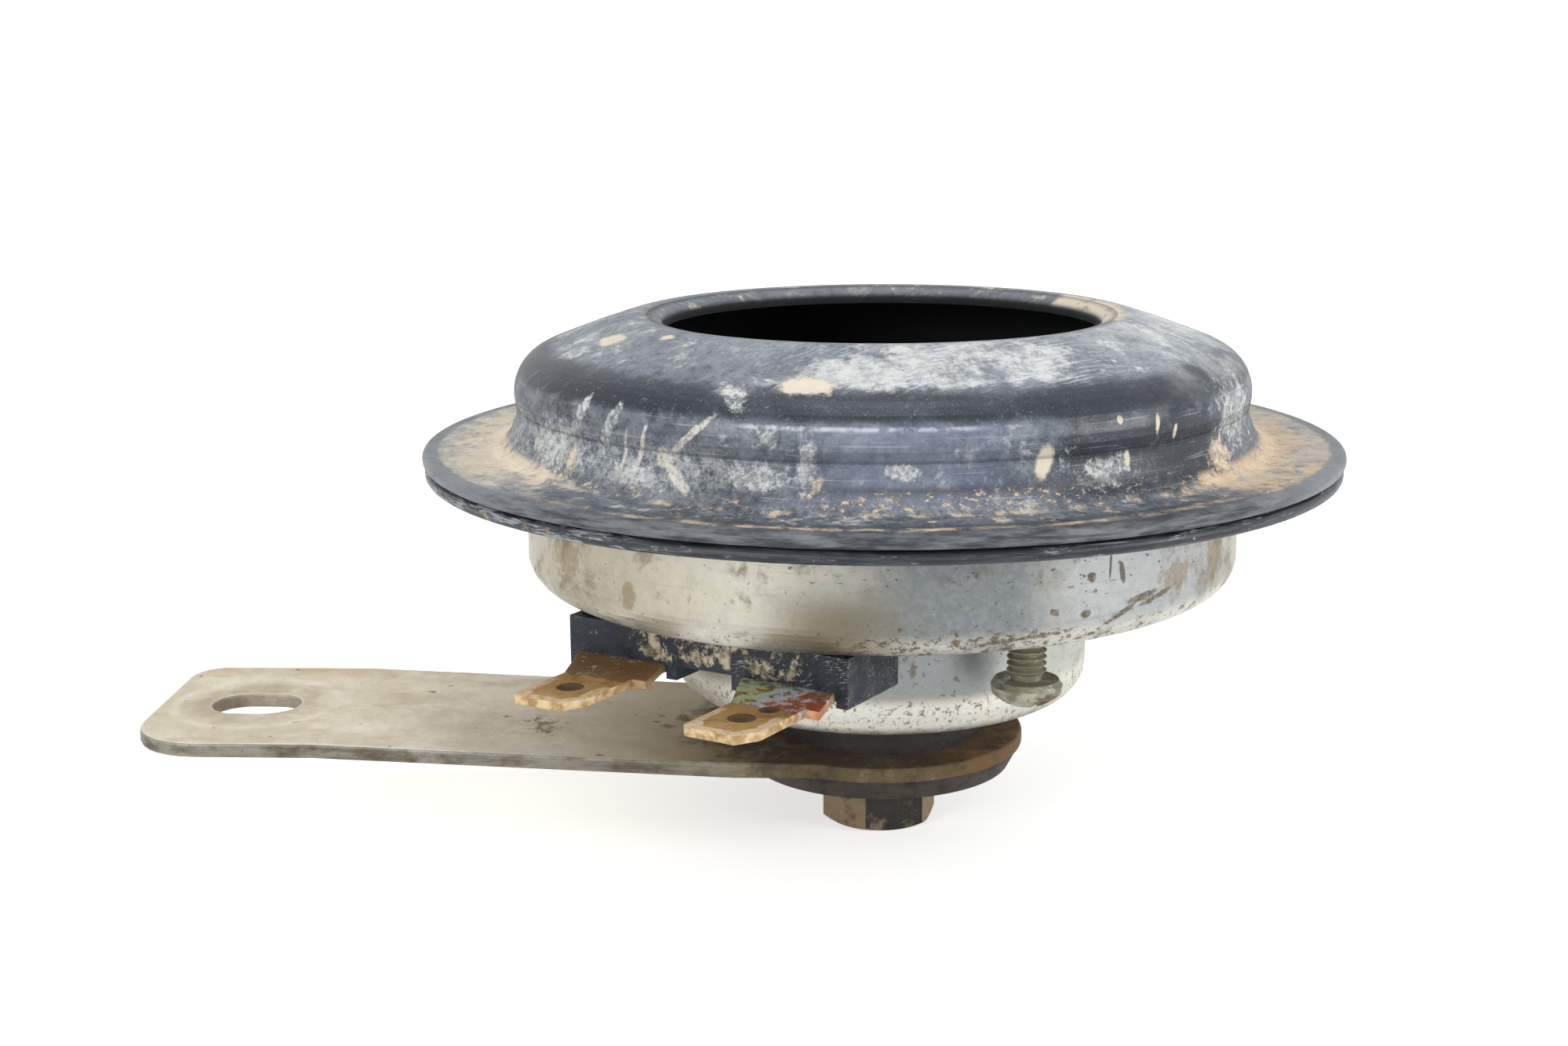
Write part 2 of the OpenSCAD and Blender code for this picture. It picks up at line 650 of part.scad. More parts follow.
module breaker_base() {
    color([0.66, 0.66, 0.64]) breaker_frame() difference() {
        stack_plate(z_floor, z_floor + base_t, spring_w - 0.8);
        stack_holes(z_floor - 1, base_t + 2);
    }
}

module breaker_insulators() {
    layers = [
        [z_floor + base_t, z_moving_spring],
        [z_moving_spring + moving_spring_t, z_fixed_spring],
        [z_fixed_spring + fixed_spring_t, z_fixed_spring + fixed_spring_t + top_insulator_t]
    ];
    color([0.42, 0.20, 0.12]) breaker_frame() for (l = layers) difference() {
        stack_plate(l[0], l[1]);
        stack_holes(l[0] - 1, l[1] - l[0] + 2);
    }
}

module breaker_clamp() {
    color([0.66, 0.66, 0.64]) breaker_frame() difference() {
        stack_plate(z_stack_top - clamp_t, z_stack_top);
        stack_holes(z_stack_top - clamp_t - 1, clamp_t + 2);
    }
}

module breaker_rivets() {
    r = stack_rivet_r - 0.05;
    color([0.72, 0.64, 0.40]) breaker_frame() for (p = stack_rivets) at(p) union() {
        translate([0, 0, z_floor]) cylinder(r = r, h = z_stack_top - z_floor, $fn = 32);
        translate([0, 0, z_stack_top]) cylinder(r = r + 0.4, h = 0.6, $fn = 32);
    }
}

module terminal_block() {
    back = block_front - block_depth;
    rear = block_front - block_end_depth;
    z_low = z_root_top - block_wall_drop;
    left = channels[0] - root_left - block_room;
    right = channels[1] + root_right + block_room;
    walls = [
        left - block_wall_t, channels[0] + root_right + block_room,
        channels[1] - root_left - block_room - block_wall_t, right
    ];
    v_min = left - block_wall_t;
    v_max = right + block_wall_t;
    outline = concat(
        [[block_front, v_min], [block_front, v_max]],
        arc([rear + block_round, v_max - block_round], block_round, 90, 180, 5),
        [[rear, v_max - block_end_w], [back, v_max - block_end_w]],
        [[back, v_min + block_end_w], [rear, v_min + block_end_w]],
        arc([rear + block_round, v_min + block_round], block_round, 180, 270, 5)
    );
    color([0.08, 0.08, 0.09]) terminal_frame() difference() {
        union() {
            translate([0, 0, z_root_top]) linear_extrude(height = block_beam_t) polygon(outline);
            intersection() {
                translate([0, 0, z_low]) linear_extrude(height = block_wall_drop + small) polygon(outline);
                for (v = walls) translate([rear, v, z_low - 1])
                    cube([block_end_depth, block_wall_t, block_wall_drop + 2]);
            }
        }
        for (v = channels) translate([rivet_u, v, z_low - 1])
            cylinder(r = terminal_rivet_r + 0.05, h = block_beam_t + block_wall_drop + 2, $fn = 48);
    }
}

// A flat terminal with +X outwards: a wide root with a rivet hole, then the blade
module terminal_plate(pilot) {
    left = blade_offset - blade_w / 2;
    right = blade_offset + blade_w / 2;
    slant = block_front + 0.4;
    outline = [
        [root_back, -root_left], [slant, -root_left], [slant + root_slant_l, left],
        [blade_tip - blade_corner, left], [blade_tip, left + blade_corner],
        [blade_tip, right - blade_chamfer], [blade_tip - blade_chamfer_l, right],
        [blade_root, right], [blade_root, root_shoulder], [slant, root_right], [root_back, root_right]
    ];
    color([0.58, 0.42, 0.22]) translate([0, 0, z_root_top - blade_t]) difference() {
        linear_extrude(height = blade_t) polygon(outline);
        translate([blade_tip - blade_hole_in, blade_offset, -1]) cylinder(r = blade_hole_r, h = blade_t + 2, $fn = 32);
        translate([rivet_u, 0, -1]) cylinder(r = terminal_rivet_r + 0.05, h = blade_t + 2, $fn = 32);
        if (pilot) translate([blade_root + 1.6, blade_offset + 0.75, -1]) cylinder(r = pilot_r, h = blade_t + 2, $fn = 32);
    }
}
module terminal_left() { terminal_frame() translate([0, channels[0], 0]) terminal_plate(false); }
module terminal_right() { terminal_frame() translate([0, channels[1], 0]) terminal_plate(true); }

module terminal_rivets() {
    low = z_root_top - blade_t;
    color([0.62, 0.46, 0.24]) terminal_frame() for (v = channels) translate([rivet_u, v, 0]) union() {
        translate([0, 0, low - 0.5]) cylinder(r = terminal_rivet_head_r, h = 0.5, $fn = 48);
        translate([0, 0, low - small])
            cylinder(r = terminal_rivet_r, h = z_lug_top - low + 2 * small, $fn = 48);
        translate([0, 0, z_lug_top]) cylinder(r = inner_head_r, h = rivet_head_t, $fn = 48);
    }
}

module terminal_insulators() {
    color([0.30, 0.16, 0.10]) terminal_frame() for (v = channels) translate([rivet_u, v, 0]) difference() {
        union() {
            translate([0, 0, -case_depth]) cylinder(r = terminal_rivet_head_r, h = case_t + small, $fn = 48);
            translate([0, 0, z_floor]) cylinder(r = lug_r, h = insulator_t, $fn = 48);
        }
        translate([0, 0, -case_depth - 1])
            cylinder(r = terminal_rivet_r + 0.05, h = case_t + insulator_t + 2, $fn = 48);
    }
}

module terminal_lugs() {
    color([0.70, 0.54, 0.28]) terminal_frame() for (v = channels) translate([rivet_u, v, 0])
        tube(lug_r, terminal_rivet_r + 0.05, z_floor + insulator_t, z_lug_top);
}

// Wires are rods and quarter bends. A run goes along +X at height z, down at its start to
// z_start and down at its end to z_end
module rod(l) { cylinder(r = wire_r, h = l, $fn = 24); }
module bend(r, angle) {
    rotate_extrude(angle = angle, $fn = 48) translate([r, 0]) circle(r = wire_r, $fn = 24);
}
module drop(r, z, z_end) {
    translate([0, 0, z - r]) rotate([90, 0, 0]) bend(r, 90);
    translate([r, 0, z_end]) rod(z - r - z_end);
}
module run(l, z, z_start, z_end) {
    r = wire_bend;
    translate([r, 0, z]) rotate([0, 90, 0]) rod(l - 2 * r);
    translate([l - r, 0, 0]) drop(r, z, z_end);
    translate([r, 0, 0]) mirror([1, 0, 0]) drop(r, z, z_start);
}

spacer_bore = stud_r + swivel_play;
wire_bend = 0.9;
lead_t = 0.5;
pin_from_lug = inner_head_r + 0.15 + wire_r;

module coil_lead_in() {
    lug = terminal(rivet_u, channels[0]);
    reach = norm(lug) - pin_from_lug;
    top = max(z_cheek_top, z_lug_top) + wire_bend + 0.3;
    color([0.60, 0.28, 0.12]) horn() rotate([0, 0, atan2(lug[1], lug[0])]) translate([lead_r, 0, 0])
        run(reach - lead_r, top, z_cheek_top, z_lug_top);
}

module coil_lead_out() {
    tab = [screw_from_axis + inner_tab, tab_t];
    z_tab = z_fixed_spring + fixed_spring_t;
    z_run = z_stack_top + wire_r + 0.3;
    color([0.60, 0.28, 0.12]) horn() rotate([0, 0, screw_angle + atan2(tab[1], tab[0])])
        translate([lead_r, 0, 0]) run(norm(tab) - lead_r, z_run, z_cheek_top, z_tab);
}

// A flat strip on its edge, round the wall from the right terminal's lug to the spring's tab
module breaker_lead() {
    path_r = case_r - case_t - 1.1;
    tab = [screw_from_axis + outer_tab, tab_t];
    lug = terminal(rivet_u, channels[1]);
    first = atan2(lug[1], lug[0]);
    last = screw_angle + atan2(tab[1], tab[0]);
    legs = [[first, norm(lug) + inner_head_r + 0.3], [last, norm(tab) - 0.6]];
    sector = concat([[0, 0]], [for (i = [0 : 4]) polar(2 * path_r, first + (last - first) * i / 4)]);
    h = z_moving_spring - z_lug_top;
    color([0.66, 0.50, 0.26]) horn() translate([0, 0, z_lug_top]) linear_extrude(height = h)
        union() {
            intersection() {
                difference() {
                    circle(r = path_r + lead_t / 2, $fn = 96);
                    circle(r = path_r - lead_t / 2, $fn = 96);
                }
                polygon(sector);
            }
            for (leg = legs) rotate([0, 0, leg[0]]) translate([leg[1], -lead_t / 2])
                square([path_r - leg[1], lead_t]);
        }
}

module spacer_washer() {
    color([0.22, 0.18, 0.14]) horn() tube(spacer_r, spacer_bore, z_bracket_top, -can_depth);
}

// The strip's side view, from the eye's far edge to the free end, in Y and Z
module bracket() {
    y_far = slot_to_stud + eye_r + 1;
    y_bend = slot_to_stud - joggle_from;
    low = -joggle_h;
    half_w = strip_w / 2;
    side = [
        [y_far, low], [y_bend, low], [seat_l, 0], [-strip_end - 1, 0], [-strip_end - 1, strip_t],
        [seat_l, strip_t], [y_bend, low + strip_t], [y_far, low + strip_t]
    ];
    plan = concat(
        [[half_w, slot_to_stud], [-half_w, slot_to_stud]],
        arc([strip_round_far - half_w, strip_round_far - strip_end], strip_round_far, 180, 270, 6),
        arc([half_w - strip_round_near, strip_round_near - strip_end], strip_round_near, 270, 360, 8)
    );
    color([0.62, 0.58, 0.50]) difference() {
        intersection() {
            rotate([90, 0, 90]) translate([0, 0, -eye_r - 1])
                linear_extrude(height = 2 * eye_r + 2) polygon(side);
            translate([0, 0, low - 1]) linear_extrude(height = joggle_h + strip_t + 2) union() {
                translate([0, slot_to_stud]) circle(r = eye_r, $fn = 96);
                polygon(plan);
            }
        }
        translate([0, slot_to_stud, low - 2]) cylinder(r = spacer_bore, h = strip_t + 4, $fn = 64);
        translate([0, 0, -1]) linear_extrude(height = strip_t + 2) union() {
            square([slot_w, slot_l - slot_w], center = true);
            for (end = [-1, 1]) translate([0, end * (slot_l - slot_w) / 2]) circle(r = slot_w / 2, $fn = 48);
        }
    }
}

module dished_washer() {
    lip = 0.5;
    outer = [
        [dish_r, z_dish_top], [dish_r, z_dish_top - lip],
        [(dish_r + dish_bottom_r) / 2 + 0.9, (z_dish_top - lip + z_nut_top) / 2 - 0.25],
        [dish_bottom_r + 0.5, z_nut_top + 0.25], [dish_bottom_r, z_nut_top], [core_bore, z_nut_top]
    ];
    inner = [
        [dish_r - dish_t, z_dish_top], [dish_r - dish_t, z_dish_top - lip / 2],
        [dish_bottom_r - 0.4, z_nut_top + dish_t], [core_bore, z_nut_top + dish_t]
    ];
    color([0.42, 0.26, 0.15]) horn() turned(sheet(outer, inner));
}

module mounting_nut() {
    color([0.36, 0.28, 0.20]) horn()
        translate([0, 0, z_nut_bottom]) rotate([0, 0, nut_turn]) hex_nut(nut_af, nut_h, stud_r + thread_play);
}

sound_cover();
rim_ring();
front_gasket();
diaphragm();
rear_gasket();
case_shell();
pole_core();
coil_bobbin();
coil_winding();
armature();
disc_spacer();
tone_disc();
disc_lock_washer();
disc_nut();
adjuster_bush();
adjusting_screw();
adjuster_cap();
fixed_contact_spring();
fixed_contact();
moving_contact_spring();
moving_contact();
pusher_post();
breaker_base();
breaker_insulators();
breaker_clamp();
breaker_rivets();
terminal_block();
terminal_left();
terminal_right();
terminal_rivets();
terminal_insulators();
terminal_lugs();
coil_lead_in();
coil_lead_out();
breaker_lead();
spacer_washer();
bracket();
dished_washer();
mounting_nut();
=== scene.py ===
# %% [markdown]
# A small electric disc horn. The CAD model brings every piece in its real place, in metres,
# and this file adds the camera, the light, the finishes and the details that a CAD solid
# doesn't carry.

# %% Load the model
import json
import math

import bmesh
import bpy
from mathutils import Matrix, Vector

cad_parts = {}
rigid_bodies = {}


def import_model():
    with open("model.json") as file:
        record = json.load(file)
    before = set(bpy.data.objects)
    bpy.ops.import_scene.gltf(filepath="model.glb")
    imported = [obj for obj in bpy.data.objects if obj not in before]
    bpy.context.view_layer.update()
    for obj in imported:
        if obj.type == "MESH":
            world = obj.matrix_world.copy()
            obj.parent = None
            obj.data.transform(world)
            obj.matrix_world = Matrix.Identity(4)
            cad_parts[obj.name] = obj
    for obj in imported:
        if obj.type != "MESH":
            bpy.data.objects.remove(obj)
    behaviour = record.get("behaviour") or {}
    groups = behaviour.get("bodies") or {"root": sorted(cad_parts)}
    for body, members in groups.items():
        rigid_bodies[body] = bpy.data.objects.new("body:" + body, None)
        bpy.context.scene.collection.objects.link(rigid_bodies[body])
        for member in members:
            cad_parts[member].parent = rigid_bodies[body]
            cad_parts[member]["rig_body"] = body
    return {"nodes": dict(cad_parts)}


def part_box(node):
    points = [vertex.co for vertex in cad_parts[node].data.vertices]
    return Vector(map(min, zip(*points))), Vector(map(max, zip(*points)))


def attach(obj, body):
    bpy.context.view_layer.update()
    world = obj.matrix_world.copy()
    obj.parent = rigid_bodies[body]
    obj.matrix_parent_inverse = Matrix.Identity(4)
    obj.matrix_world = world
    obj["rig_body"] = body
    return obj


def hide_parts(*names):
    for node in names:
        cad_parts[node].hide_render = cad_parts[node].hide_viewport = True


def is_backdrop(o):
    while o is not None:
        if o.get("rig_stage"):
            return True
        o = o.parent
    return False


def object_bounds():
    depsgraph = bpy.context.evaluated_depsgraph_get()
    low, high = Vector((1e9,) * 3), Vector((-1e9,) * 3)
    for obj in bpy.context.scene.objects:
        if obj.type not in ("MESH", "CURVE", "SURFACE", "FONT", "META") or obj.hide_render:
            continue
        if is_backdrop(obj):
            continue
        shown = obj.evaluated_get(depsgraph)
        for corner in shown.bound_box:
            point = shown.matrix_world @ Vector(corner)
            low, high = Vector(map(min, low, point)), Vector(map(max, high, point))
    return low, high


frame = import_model()
nodes = frame["nodes"]
cad_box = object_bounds()
print("nodes:", len(nodes))

# %% [markdown]
# The photograph was taken from a hand's length away, a little above the rim. The camera's
# place, direction and small roll come from the ellipses of the rim and the opening.

# %% Camera
LENS = 49.99
SENSOR_WIDTH = 36.0
CAMERA_PLACE = (0.2063, 0.0622, 0.06595)
YAW, PITCH, ROLL = -0.0451, 0.2184, -0.0065


def look(yaw, pitch, roll):
    """Columns of a camera's turn: right, up and back."""
    forward = Vector((-math.cos(yaw) * math.cos(pitch), math.sin(yaw) * math.cos(pitch), -math.sin(pitch)))
    right = forward.cross(Vector((0, 0, 1))).normalized()
    up = right.cross(forward)
    turned_right = right * math.cos(roll) + up * math.sin(roll)
    turned_up = up * math.cos(roll) - right * math.sin(roll)
    return Matrix((turned_right, turned_up, -forward)).transposed()


camera_data = bpy.data.cameras.new("camera")
camera_data.lens = LENS
camera_data.sensor_width = SENSOR_WIDTH
camera_data.clip_start = 0.01
camera = bpy.data.objects.new("camera", camera_data)
bpy.context.scene.collection.objects.link(camera)
camera.matrix_world = Matrix.Translation(CAMERA_PLACE) @ look(YAW, PITCH, ROLL).to_4x4()
bpy.context.scene.camera = camera
print("camera at", tuple(round(v, 4) for v in camera.matrix_world.translation))

# %% [markdown]
# Most shader nodes here are made the same way, so one helper adds a node, sets its options and
# fills its sockets with a value or a link. A second one finds the tree by itself, because a
# socket knows the tree that it belongs to, and all the sums and mixes below are made with it.

# %% Helpers for shader nodes
def add(tree, kind, options=None, sockets=None):
    made = tree.nodes.new(kind)
    for name, value in (options or {}).items():
        setattr(made, name, value)
    for name, value in (sockets or {}).items():
        if isinstance(value, bpy.types.NodeSocket):
            tree.links.new(value, made.inputs[name])
        else:
            made.inputs[name].default_value = value
    return made


def derive(kind, options, sockets):
    """Adds a node to the tree of the first socket among its inputs."""
    linked = [value for value in sockets.values() if isinstance(value, bpy.types.NodeSocket)]
    return add(linked[0].id_data, kind, options, sockets)


def calculate(operation, a, b=0.0):
    return derive("ShaderNodeMath", {"operation": operation}, {0: a, 1: b}).outputs[0]


def plus(a, b):
    return calculate("ADD", a, b)


def minus(a, b):
    return calculate("SUBTRACT", a, b)


def over(a, b):
    return calculate("DIVIDE", a, b)


def absolute(value):
    return calculate("ABSOLUTE", value)


def chained(operation, values):
    made = values[0]
    for value in values[1:]:
        made = calculate(operation, made, value)
    return made


def times(*values):
    return chained("MULTIPLY", values)


def most(*values):
    return chained("MAXIMUM", values)


def least(*values):
    return chained("MINIMUM", values)


def wear(level, *changes):
    """A level that each mask raises or lowers by its own share."""
    for mask, share in changes:
        level = plus(level, times(mask, share))
    return level


def step(value, low, high, out_low=0.0, out_high=1.0):
    """A smooth step from one level to the other, which may also fall."""
    sockets = {"Value": value, "From Min": low, "From Max": high, "To Min": out_low, "To Max": out_high}
    return derive("ShaderNodeMapRange", {"interpolation_type": "SMOOTHSTEP"}, sockets).outputs[0]


def band(value, low, high, soft):
    """1 between two levels, 0 outside them."""
    return times(step(value, low - soft, low + soft), step(value, high + soft, high - soft))


def shade(tone):
    """A colour picker's tone, 0 to 255, as the linear values that shaders work with."""
    def linear(value):
        value /= 255.0
        return value / 12.92 if value <= 0.04045 else ((value + 0.055) / 1.055) ** 2.4
    return tone if isinstance(tone, bpy.types.NodeSocket) else (*map(linear, tone), 1.0)


def mix(mask, a, b):
    """Two colours, each a tone or a socket, mixed by a mask."""
    return derive("ShaderNodeMix", {"data_type": "RGBA"}, {0: mask, 6: shade(a), 7: shade(b)}).outputs[2]


def blend(mask, a, b):
    return derive("ShaderNodeMix", {"data_type": "FLOAT"}, {0: mask, 2: a, 3: b}).outputs[0]


def coat(colour, tone, *masks):
    """Lays a tone over a colour where all the masks allow it."""
    return mix(times(*masks), colour, tone)


def vector(operation, a, b):
    """Vector maths, such as ADD or SCALE; a length or a product comes back as one value."""
    second = "Scale" if operation == "SCALE" else 1
    made = derive("ShaderNodeVectorMath", {"operation": operation}, {0: a, second: b})
    return made.outputs["Value" if operation == "DOT_PRODUCT" else "Vector"]


def length(place):
    return derive("ShaderNodeVectorMath", {"operation": "LENGTH"}, {0: place}).outputs["Value"]


def mapped(place, **changes):
    """A place after a Mapping node; changes are Location, Rotation or Scale."""
    return derive("ShaderNodeMapping", {"vector_type": "POINT"}, {"Vector": place, **changes}).outputs[0]


def axes_of(place):
    return derive("ShaderNodeSeparateXYZ", None, {0: place}).outputs


def joined(x, y, z=0.0):
    return derive("ShaderNodeCombineXYZ", None, {0: x, 1: y, 2: z}).outputs[0]


def noise(place, scale, **options):
    return derive("ShaderNodeTexNoise", None, {"Vector": place, "Scale": scale, **options}).outputs


# %% [markdown]
# The studio is a white room: a world that lights evenly, three soft lamps and a white floor
# well under the horn. The world and the floor show as pure white to the camera and in gloss,
# while the light that falls on the horn stays at a plain level. The floor is clear from below,
# so the nut and the underside can be looked at too.

# %% Studio light and floor
WHITE = (1.0, 1.0, 1.0, 1.0)
FLOOR_TONE = (0.85, 0.85, 0.85, 1.0)
WORLD_LIGHT = 0.58
FLOOR_GLOW = 0.55
FLOOR_RADIUS = 6.0
FLOOR_HEIGHT = -0.00955


def background(tree, strength):
    return add(tree, "ShaderNodeBackground", None, {"Color": WHITE, "Strength": strength}).outputs[0]


def seen_ray(tree):
    """1 for rays of the camera, of gloss and of glass."""
    path = add(tree, "ShaderNodeLightPath").outputs
    return most(path["Is Camera Ray"], path["Is Glossy Ray"], path["Is Transmission Ray"])


bpy.context.scene.view_settings.view_transform = "Standard"
world = bpy.data.worlds.new("studio")
world.use_nodes = True
bpy.context.scene.world = world
tree = world.node_tree
tree.nodes.clear()
lit = add(tree, "ShaderNodeMixShader", None, {
    0: seen_ray(tree), 1: background(tree, WORLD_LIGHT), 2: background(tree, 1.0)})
add(tree, "ShaderNodeOutputWorld", None, {"Surface": lit.outputs[0]})


def lamp(name, place, target, size, power):
    data = bpy.data.lights.new(name, "AREA")
    data.shape = "DISK"
    data.size = size
    data.energy = power
    made = bpy.data.objects.new(name, data)
    bpy.context.scene.collection.objects.link(made)
    made.location = place
    made.rotation_euler = (Vector(target) - Vector(place)).to_track_quat("-Z", "Y").to_euler()


lamp("lamp_top", (0.05, 0.06, 0.70), (0.0, 0.06, 0.02), 0.45, 1.7)
lamp("lamp_left", (0.50, -0.28, 0.16), (0.0, 0.06, 0.01), 0.22, 1.5)
lamp("lamp_right", (0.22, 0.62, 0.16), (0.0, 0.06, 0.01), 0.25, 1.9)

bm = bmesh.new()
bmesh.ops.create_circle(bm, cap_ends=True, segments=96, radius=FLOOR_RADIUS)
bmesh.ops.translate(bm, verts=bm.verts, vec=(0.0, 0.0, FLOOR_HEIGHT))
floor_mesh = bpy.data.meshes.new("floor")
bm.to_mesh(floor_mesh)
bm.free()
floor = bpy.data.objects.new("floor", floor_mesh)
bpy.context.scene.collection.objects.link(floor)
floor_paint = bpy.data.materials.new("floor_white")
floor_paint.use_nodes = True
tree = floor_paint.node_tree
tree.nodes.clear()
matt = add(tree, "ShaderNodeBsdfDiffuse", None, {"Color": FLOOR_TONE}).outputs[0]
glow = times(seen_ray(tree), FLOOR_GLOW)
glow = add(tree, "ShaderNodeEmission", None, {"Color": WHITE, "Strength": glow}).outputs[0]
both = derive("ShaderNodeAddShader", None, {0: matt, 1: glow}).outputs[0]
under = add(tree, "ShaderNodeNewGeometry").outputs["Backfacing"]
clear = add(tree, "ShaderNodeBsdfTransparent").outputs[0]
one_way = derive("ShaderNodeMixShader", None, {0: under, 1: both, 2: clear}).outputs[0]
add(tree, "ShaderNodeOutputMaterial", None, {"Surface": one_way})
floor_mesh.materials.append(floor_paint)
floor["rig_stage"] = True
print("lamps and floor ready")

# %% [markdown]
# Dirt and wear come back on every piece of this horn, so each effect is a node group that is
# built once and gets its own values in each material. All of them read a place in millimetres,
# which keeps sizes easy to judge: a fleck of 0.4 is 0.4 mm on the real thing. Places and
# normals are those of the piece itself, so a finish turns with its piece.

# %% A place in millimetres
MM = 1000.0
RIM_TOP = (0.0, 62.2, 28.7)
SEED_STEP = 31.7
CLOUD_STEPS = (31.7, -17.3, 7.9)
BEND_STEPS = (-13.1, 29.3, 5.7)


def in_mm(tree, origin=RIM_TOP):
    """Object coordinates in mm, from the middle of the rim's top face unless told otherwise."""
    coordinates = add(tree, "ShaderNodeTexCoord").outputs["Object"]
    return mapped(coordinates, Location=tuple(-v for v in origin), Scale=(MM, MM, MM))


def own_normal(place):
    """The face's normal in the piece's own axes, in the tree of its place."""
    normal = add(place.id_data, "ShaderNodeNewGeometry").outputs["True Normal"]
    settings = {"vector_type": "NORMAL", "convert_from": "WORLD", "convert_to": "OBJECT"}
    return derive("ShaderNodeVectorTransform", settings, {0: normal}).outputs[0]


def new_group(name, outputs=("Mask",), **inputs):
    """An empty shader group that takes a place and values, and its ends."""
    made = bpy.data.node_groups.new(name, "ShaderNodeTree")
    for label, value in {"Place": (0.0, 0.0, 0.0), **inputs}.items():
        kind = "NodeSocketVector" if isinstance(value, tuple) else "NodeSocketFloat"
        made.interface.new_socket(label, in_out="INPUT", socket_type=kind).default_value = value
    for label in outputs:
        made.interface.new_socket(label, in_out="OUTPUT", socket_type="NodeSocketFloat")
    return made.links, made.nodes.new("NodeGroupInput").outputs, made.nodes.new("NodeGroupOutput").inputs


def use(name, place, **values):
    """Places a group and returns its outputs."""
    group = {"node_tree": bpy.data.node_groups[name]}
    return derive("ShaderNodeGroup", group, {"Place": place, **values}).outputs


# %% [markdown]
# Most marks follow the horn's shape, so their places are told as a radius from the horn's axis,
# a height over the rim and an angle, which is 0 at the side nearest to the camera.

# %% Group: polar places about the horn's axis
links, given, out = new_group("about_axis", ("Radius", "Height", "Angle"))
x, y, z = axes_of(given["Place"])
links.new(length(joined(x, y)), out["Radius"])
links.new(z, out["Height"])
links.new(times(calculate("ARCTAN2", y, x), 180.0 / math.pi), out["Angle"])

# %% [markdown]
# A cloudy patch is noise cut at a level: a low level gives a nearly closed film with holes, a
# high one gives islands. The seed moves the pattern, so that no two finishes share their clouds.

# %% Group: cloudy patches
links, given, out = new_group("patches", Size=5.0, Level=0.5, Softness=0.1, Seed=0.0, Rough=0.62,
                              Detail=4.0)
seeded = vector("ADD", given["Place"], times(given["Seed"], SEED_STEP))
clouds = noise(seeded, over(1.0, given["Size"]), Detail=given["Detail"], Roughness=given["Rough"])[0]
low = minus(given["Level"], given["Softness"])
high = plus(given["Level"], given["Softness"])
links.new(step(clouds, low, high), out["Mask"])

# %% [markdown]
# Specks are the cells of a Voronoi pattern, cut down to a dot round each cell's point. A random
# number per cell drops most of them, and a little noise on the place makes the dots ragged.

# %% Group: specks
links, given, out = new_group("specks", Spacing=3.0, Radius=0.3, Share=0.4, Seed=0.0, Ragged=0.4)
wobble = noise(given["Place"], over(3.0, given["Spacing"]), Detail=2.0)["Color"]
wobble = vector("SUBTRACT", wobble, (0.5, 0.5, 0.5))
wobble = vector("SCALE", wobble, times(given["Ragged"], given["Spacing"]))
seeded = vector("ADD", vector("ADD", given["Place"], wobble), given["Seed"])
cells = derive("ShaderNodeTexVoronoi", None, {"Vector": seeded, "Scale": over(1.0, given["Spacing"])})
chance = derive("ShaderNodeSeparateColor", None, {0: cells.outputs["Color"]}).outputs
size = times(given["Radius"], plus(0.4, chance[1]))
dot = step(cells.outputs["Distance"], size, times(size, 0.6))
links.new(times(dot, calculate("LESS_THAN", chance[0], given["Share"])), out["Mask"])

# %% [markdown]
# Scratches are noise that is drawn out along one direction, and only its highest crests are
# kept. The material turns the place so that X runs along the scratches.

# %% Group: scratches
links, given, out = new_group("scratches", Length=8.0, Width=0.15, Level=0.62, Seed=0.0)
along, across = over(1.0, given["Length"]), over(1.0, given["Width"])
drawn = vector("MULTIPLY", given["Place"], joined(along, across, across))
seeded = vector("ADD", drawn, times(given["Seed"], SEED_STEP))
crests = noise(seeded, 1.0, Detail=3.0, Roughness=0.7)[0]
links.new(step(crests, given["Level"], plus(given["Level"], 0.07)), out["Mask"])

# %% [markdown]
# A single mark, such as one splash of mud, is a ragged ellipsoid round its own place. It is
# turned with the angle at which it sits on the horn, and tilted in the surface. The noise that
# tears the edges is made once in a finish and shared by all its marks, which saves time.

# %% Group: one mark
links, given, out = new_group("mark", Centre=(0.0, 0.0, 0.0), Half=(1.0, 1.0, 1.0),
                              Angle=0.0, Tilt=0.0, Ragged=0.5, Torn=0.5)
offset = vector("SUBTRACT", given["Place"], given["Centre"])
for axis, amount in (("Z_AXIS", "Angle"), ("X_AXIS", "Tilt")):
    sockets = {"Vector": offset, "Angle": given[amount]}
    offset = derive("ShaderNodeVectorRotate", {"rotation_type": axis}, sockets).outputs[0]
distance = length(vector("DIVIDE", offset, given["Half"]))
torn = times(minus(given["Torn"], 0.5), times(given["Ragged"], 12.0))
links.new(step(plus(distance, torn), 1.15, 0.70), out["Mask"])


def mark(place, radius, angle, height, half, tilt=0.0, ragged=0.5):
    """One mark at a polar place on the horn; half is its size across the face, round and up."""
    torn = place.id_data.nodes.get("torn edges")
    if torn is None:
        torn = noise(place, 0.9, Detail=5.0, Roughness=0.8)[0].node
        torn.name = "torn edges"
    turn = math.radians(angle)
    centre = (radius * math.cos(turn), radius * math.sin(turn), height)
    return use("mark", place, Centre=centre, Half=half, Angle=-turn, Tilt=math.radians(tilt),
               Ragged=ragged, Torn=torn.outputs[0])["Mask"]


def marks(place, *rows):
    """Several marks as one mask; a row holds what mark takes after the place."""
    return most(*[mark(place, *row) for row in rows])


print("groups:", [g.name for g in bpy.data.node_groups])

# %% [markdown]
# Every finish ends the same way: one Principled shader, whose colour, roughness and height
# change over the surface. Colours are written as a colour picker shows them, from 0 to 255.

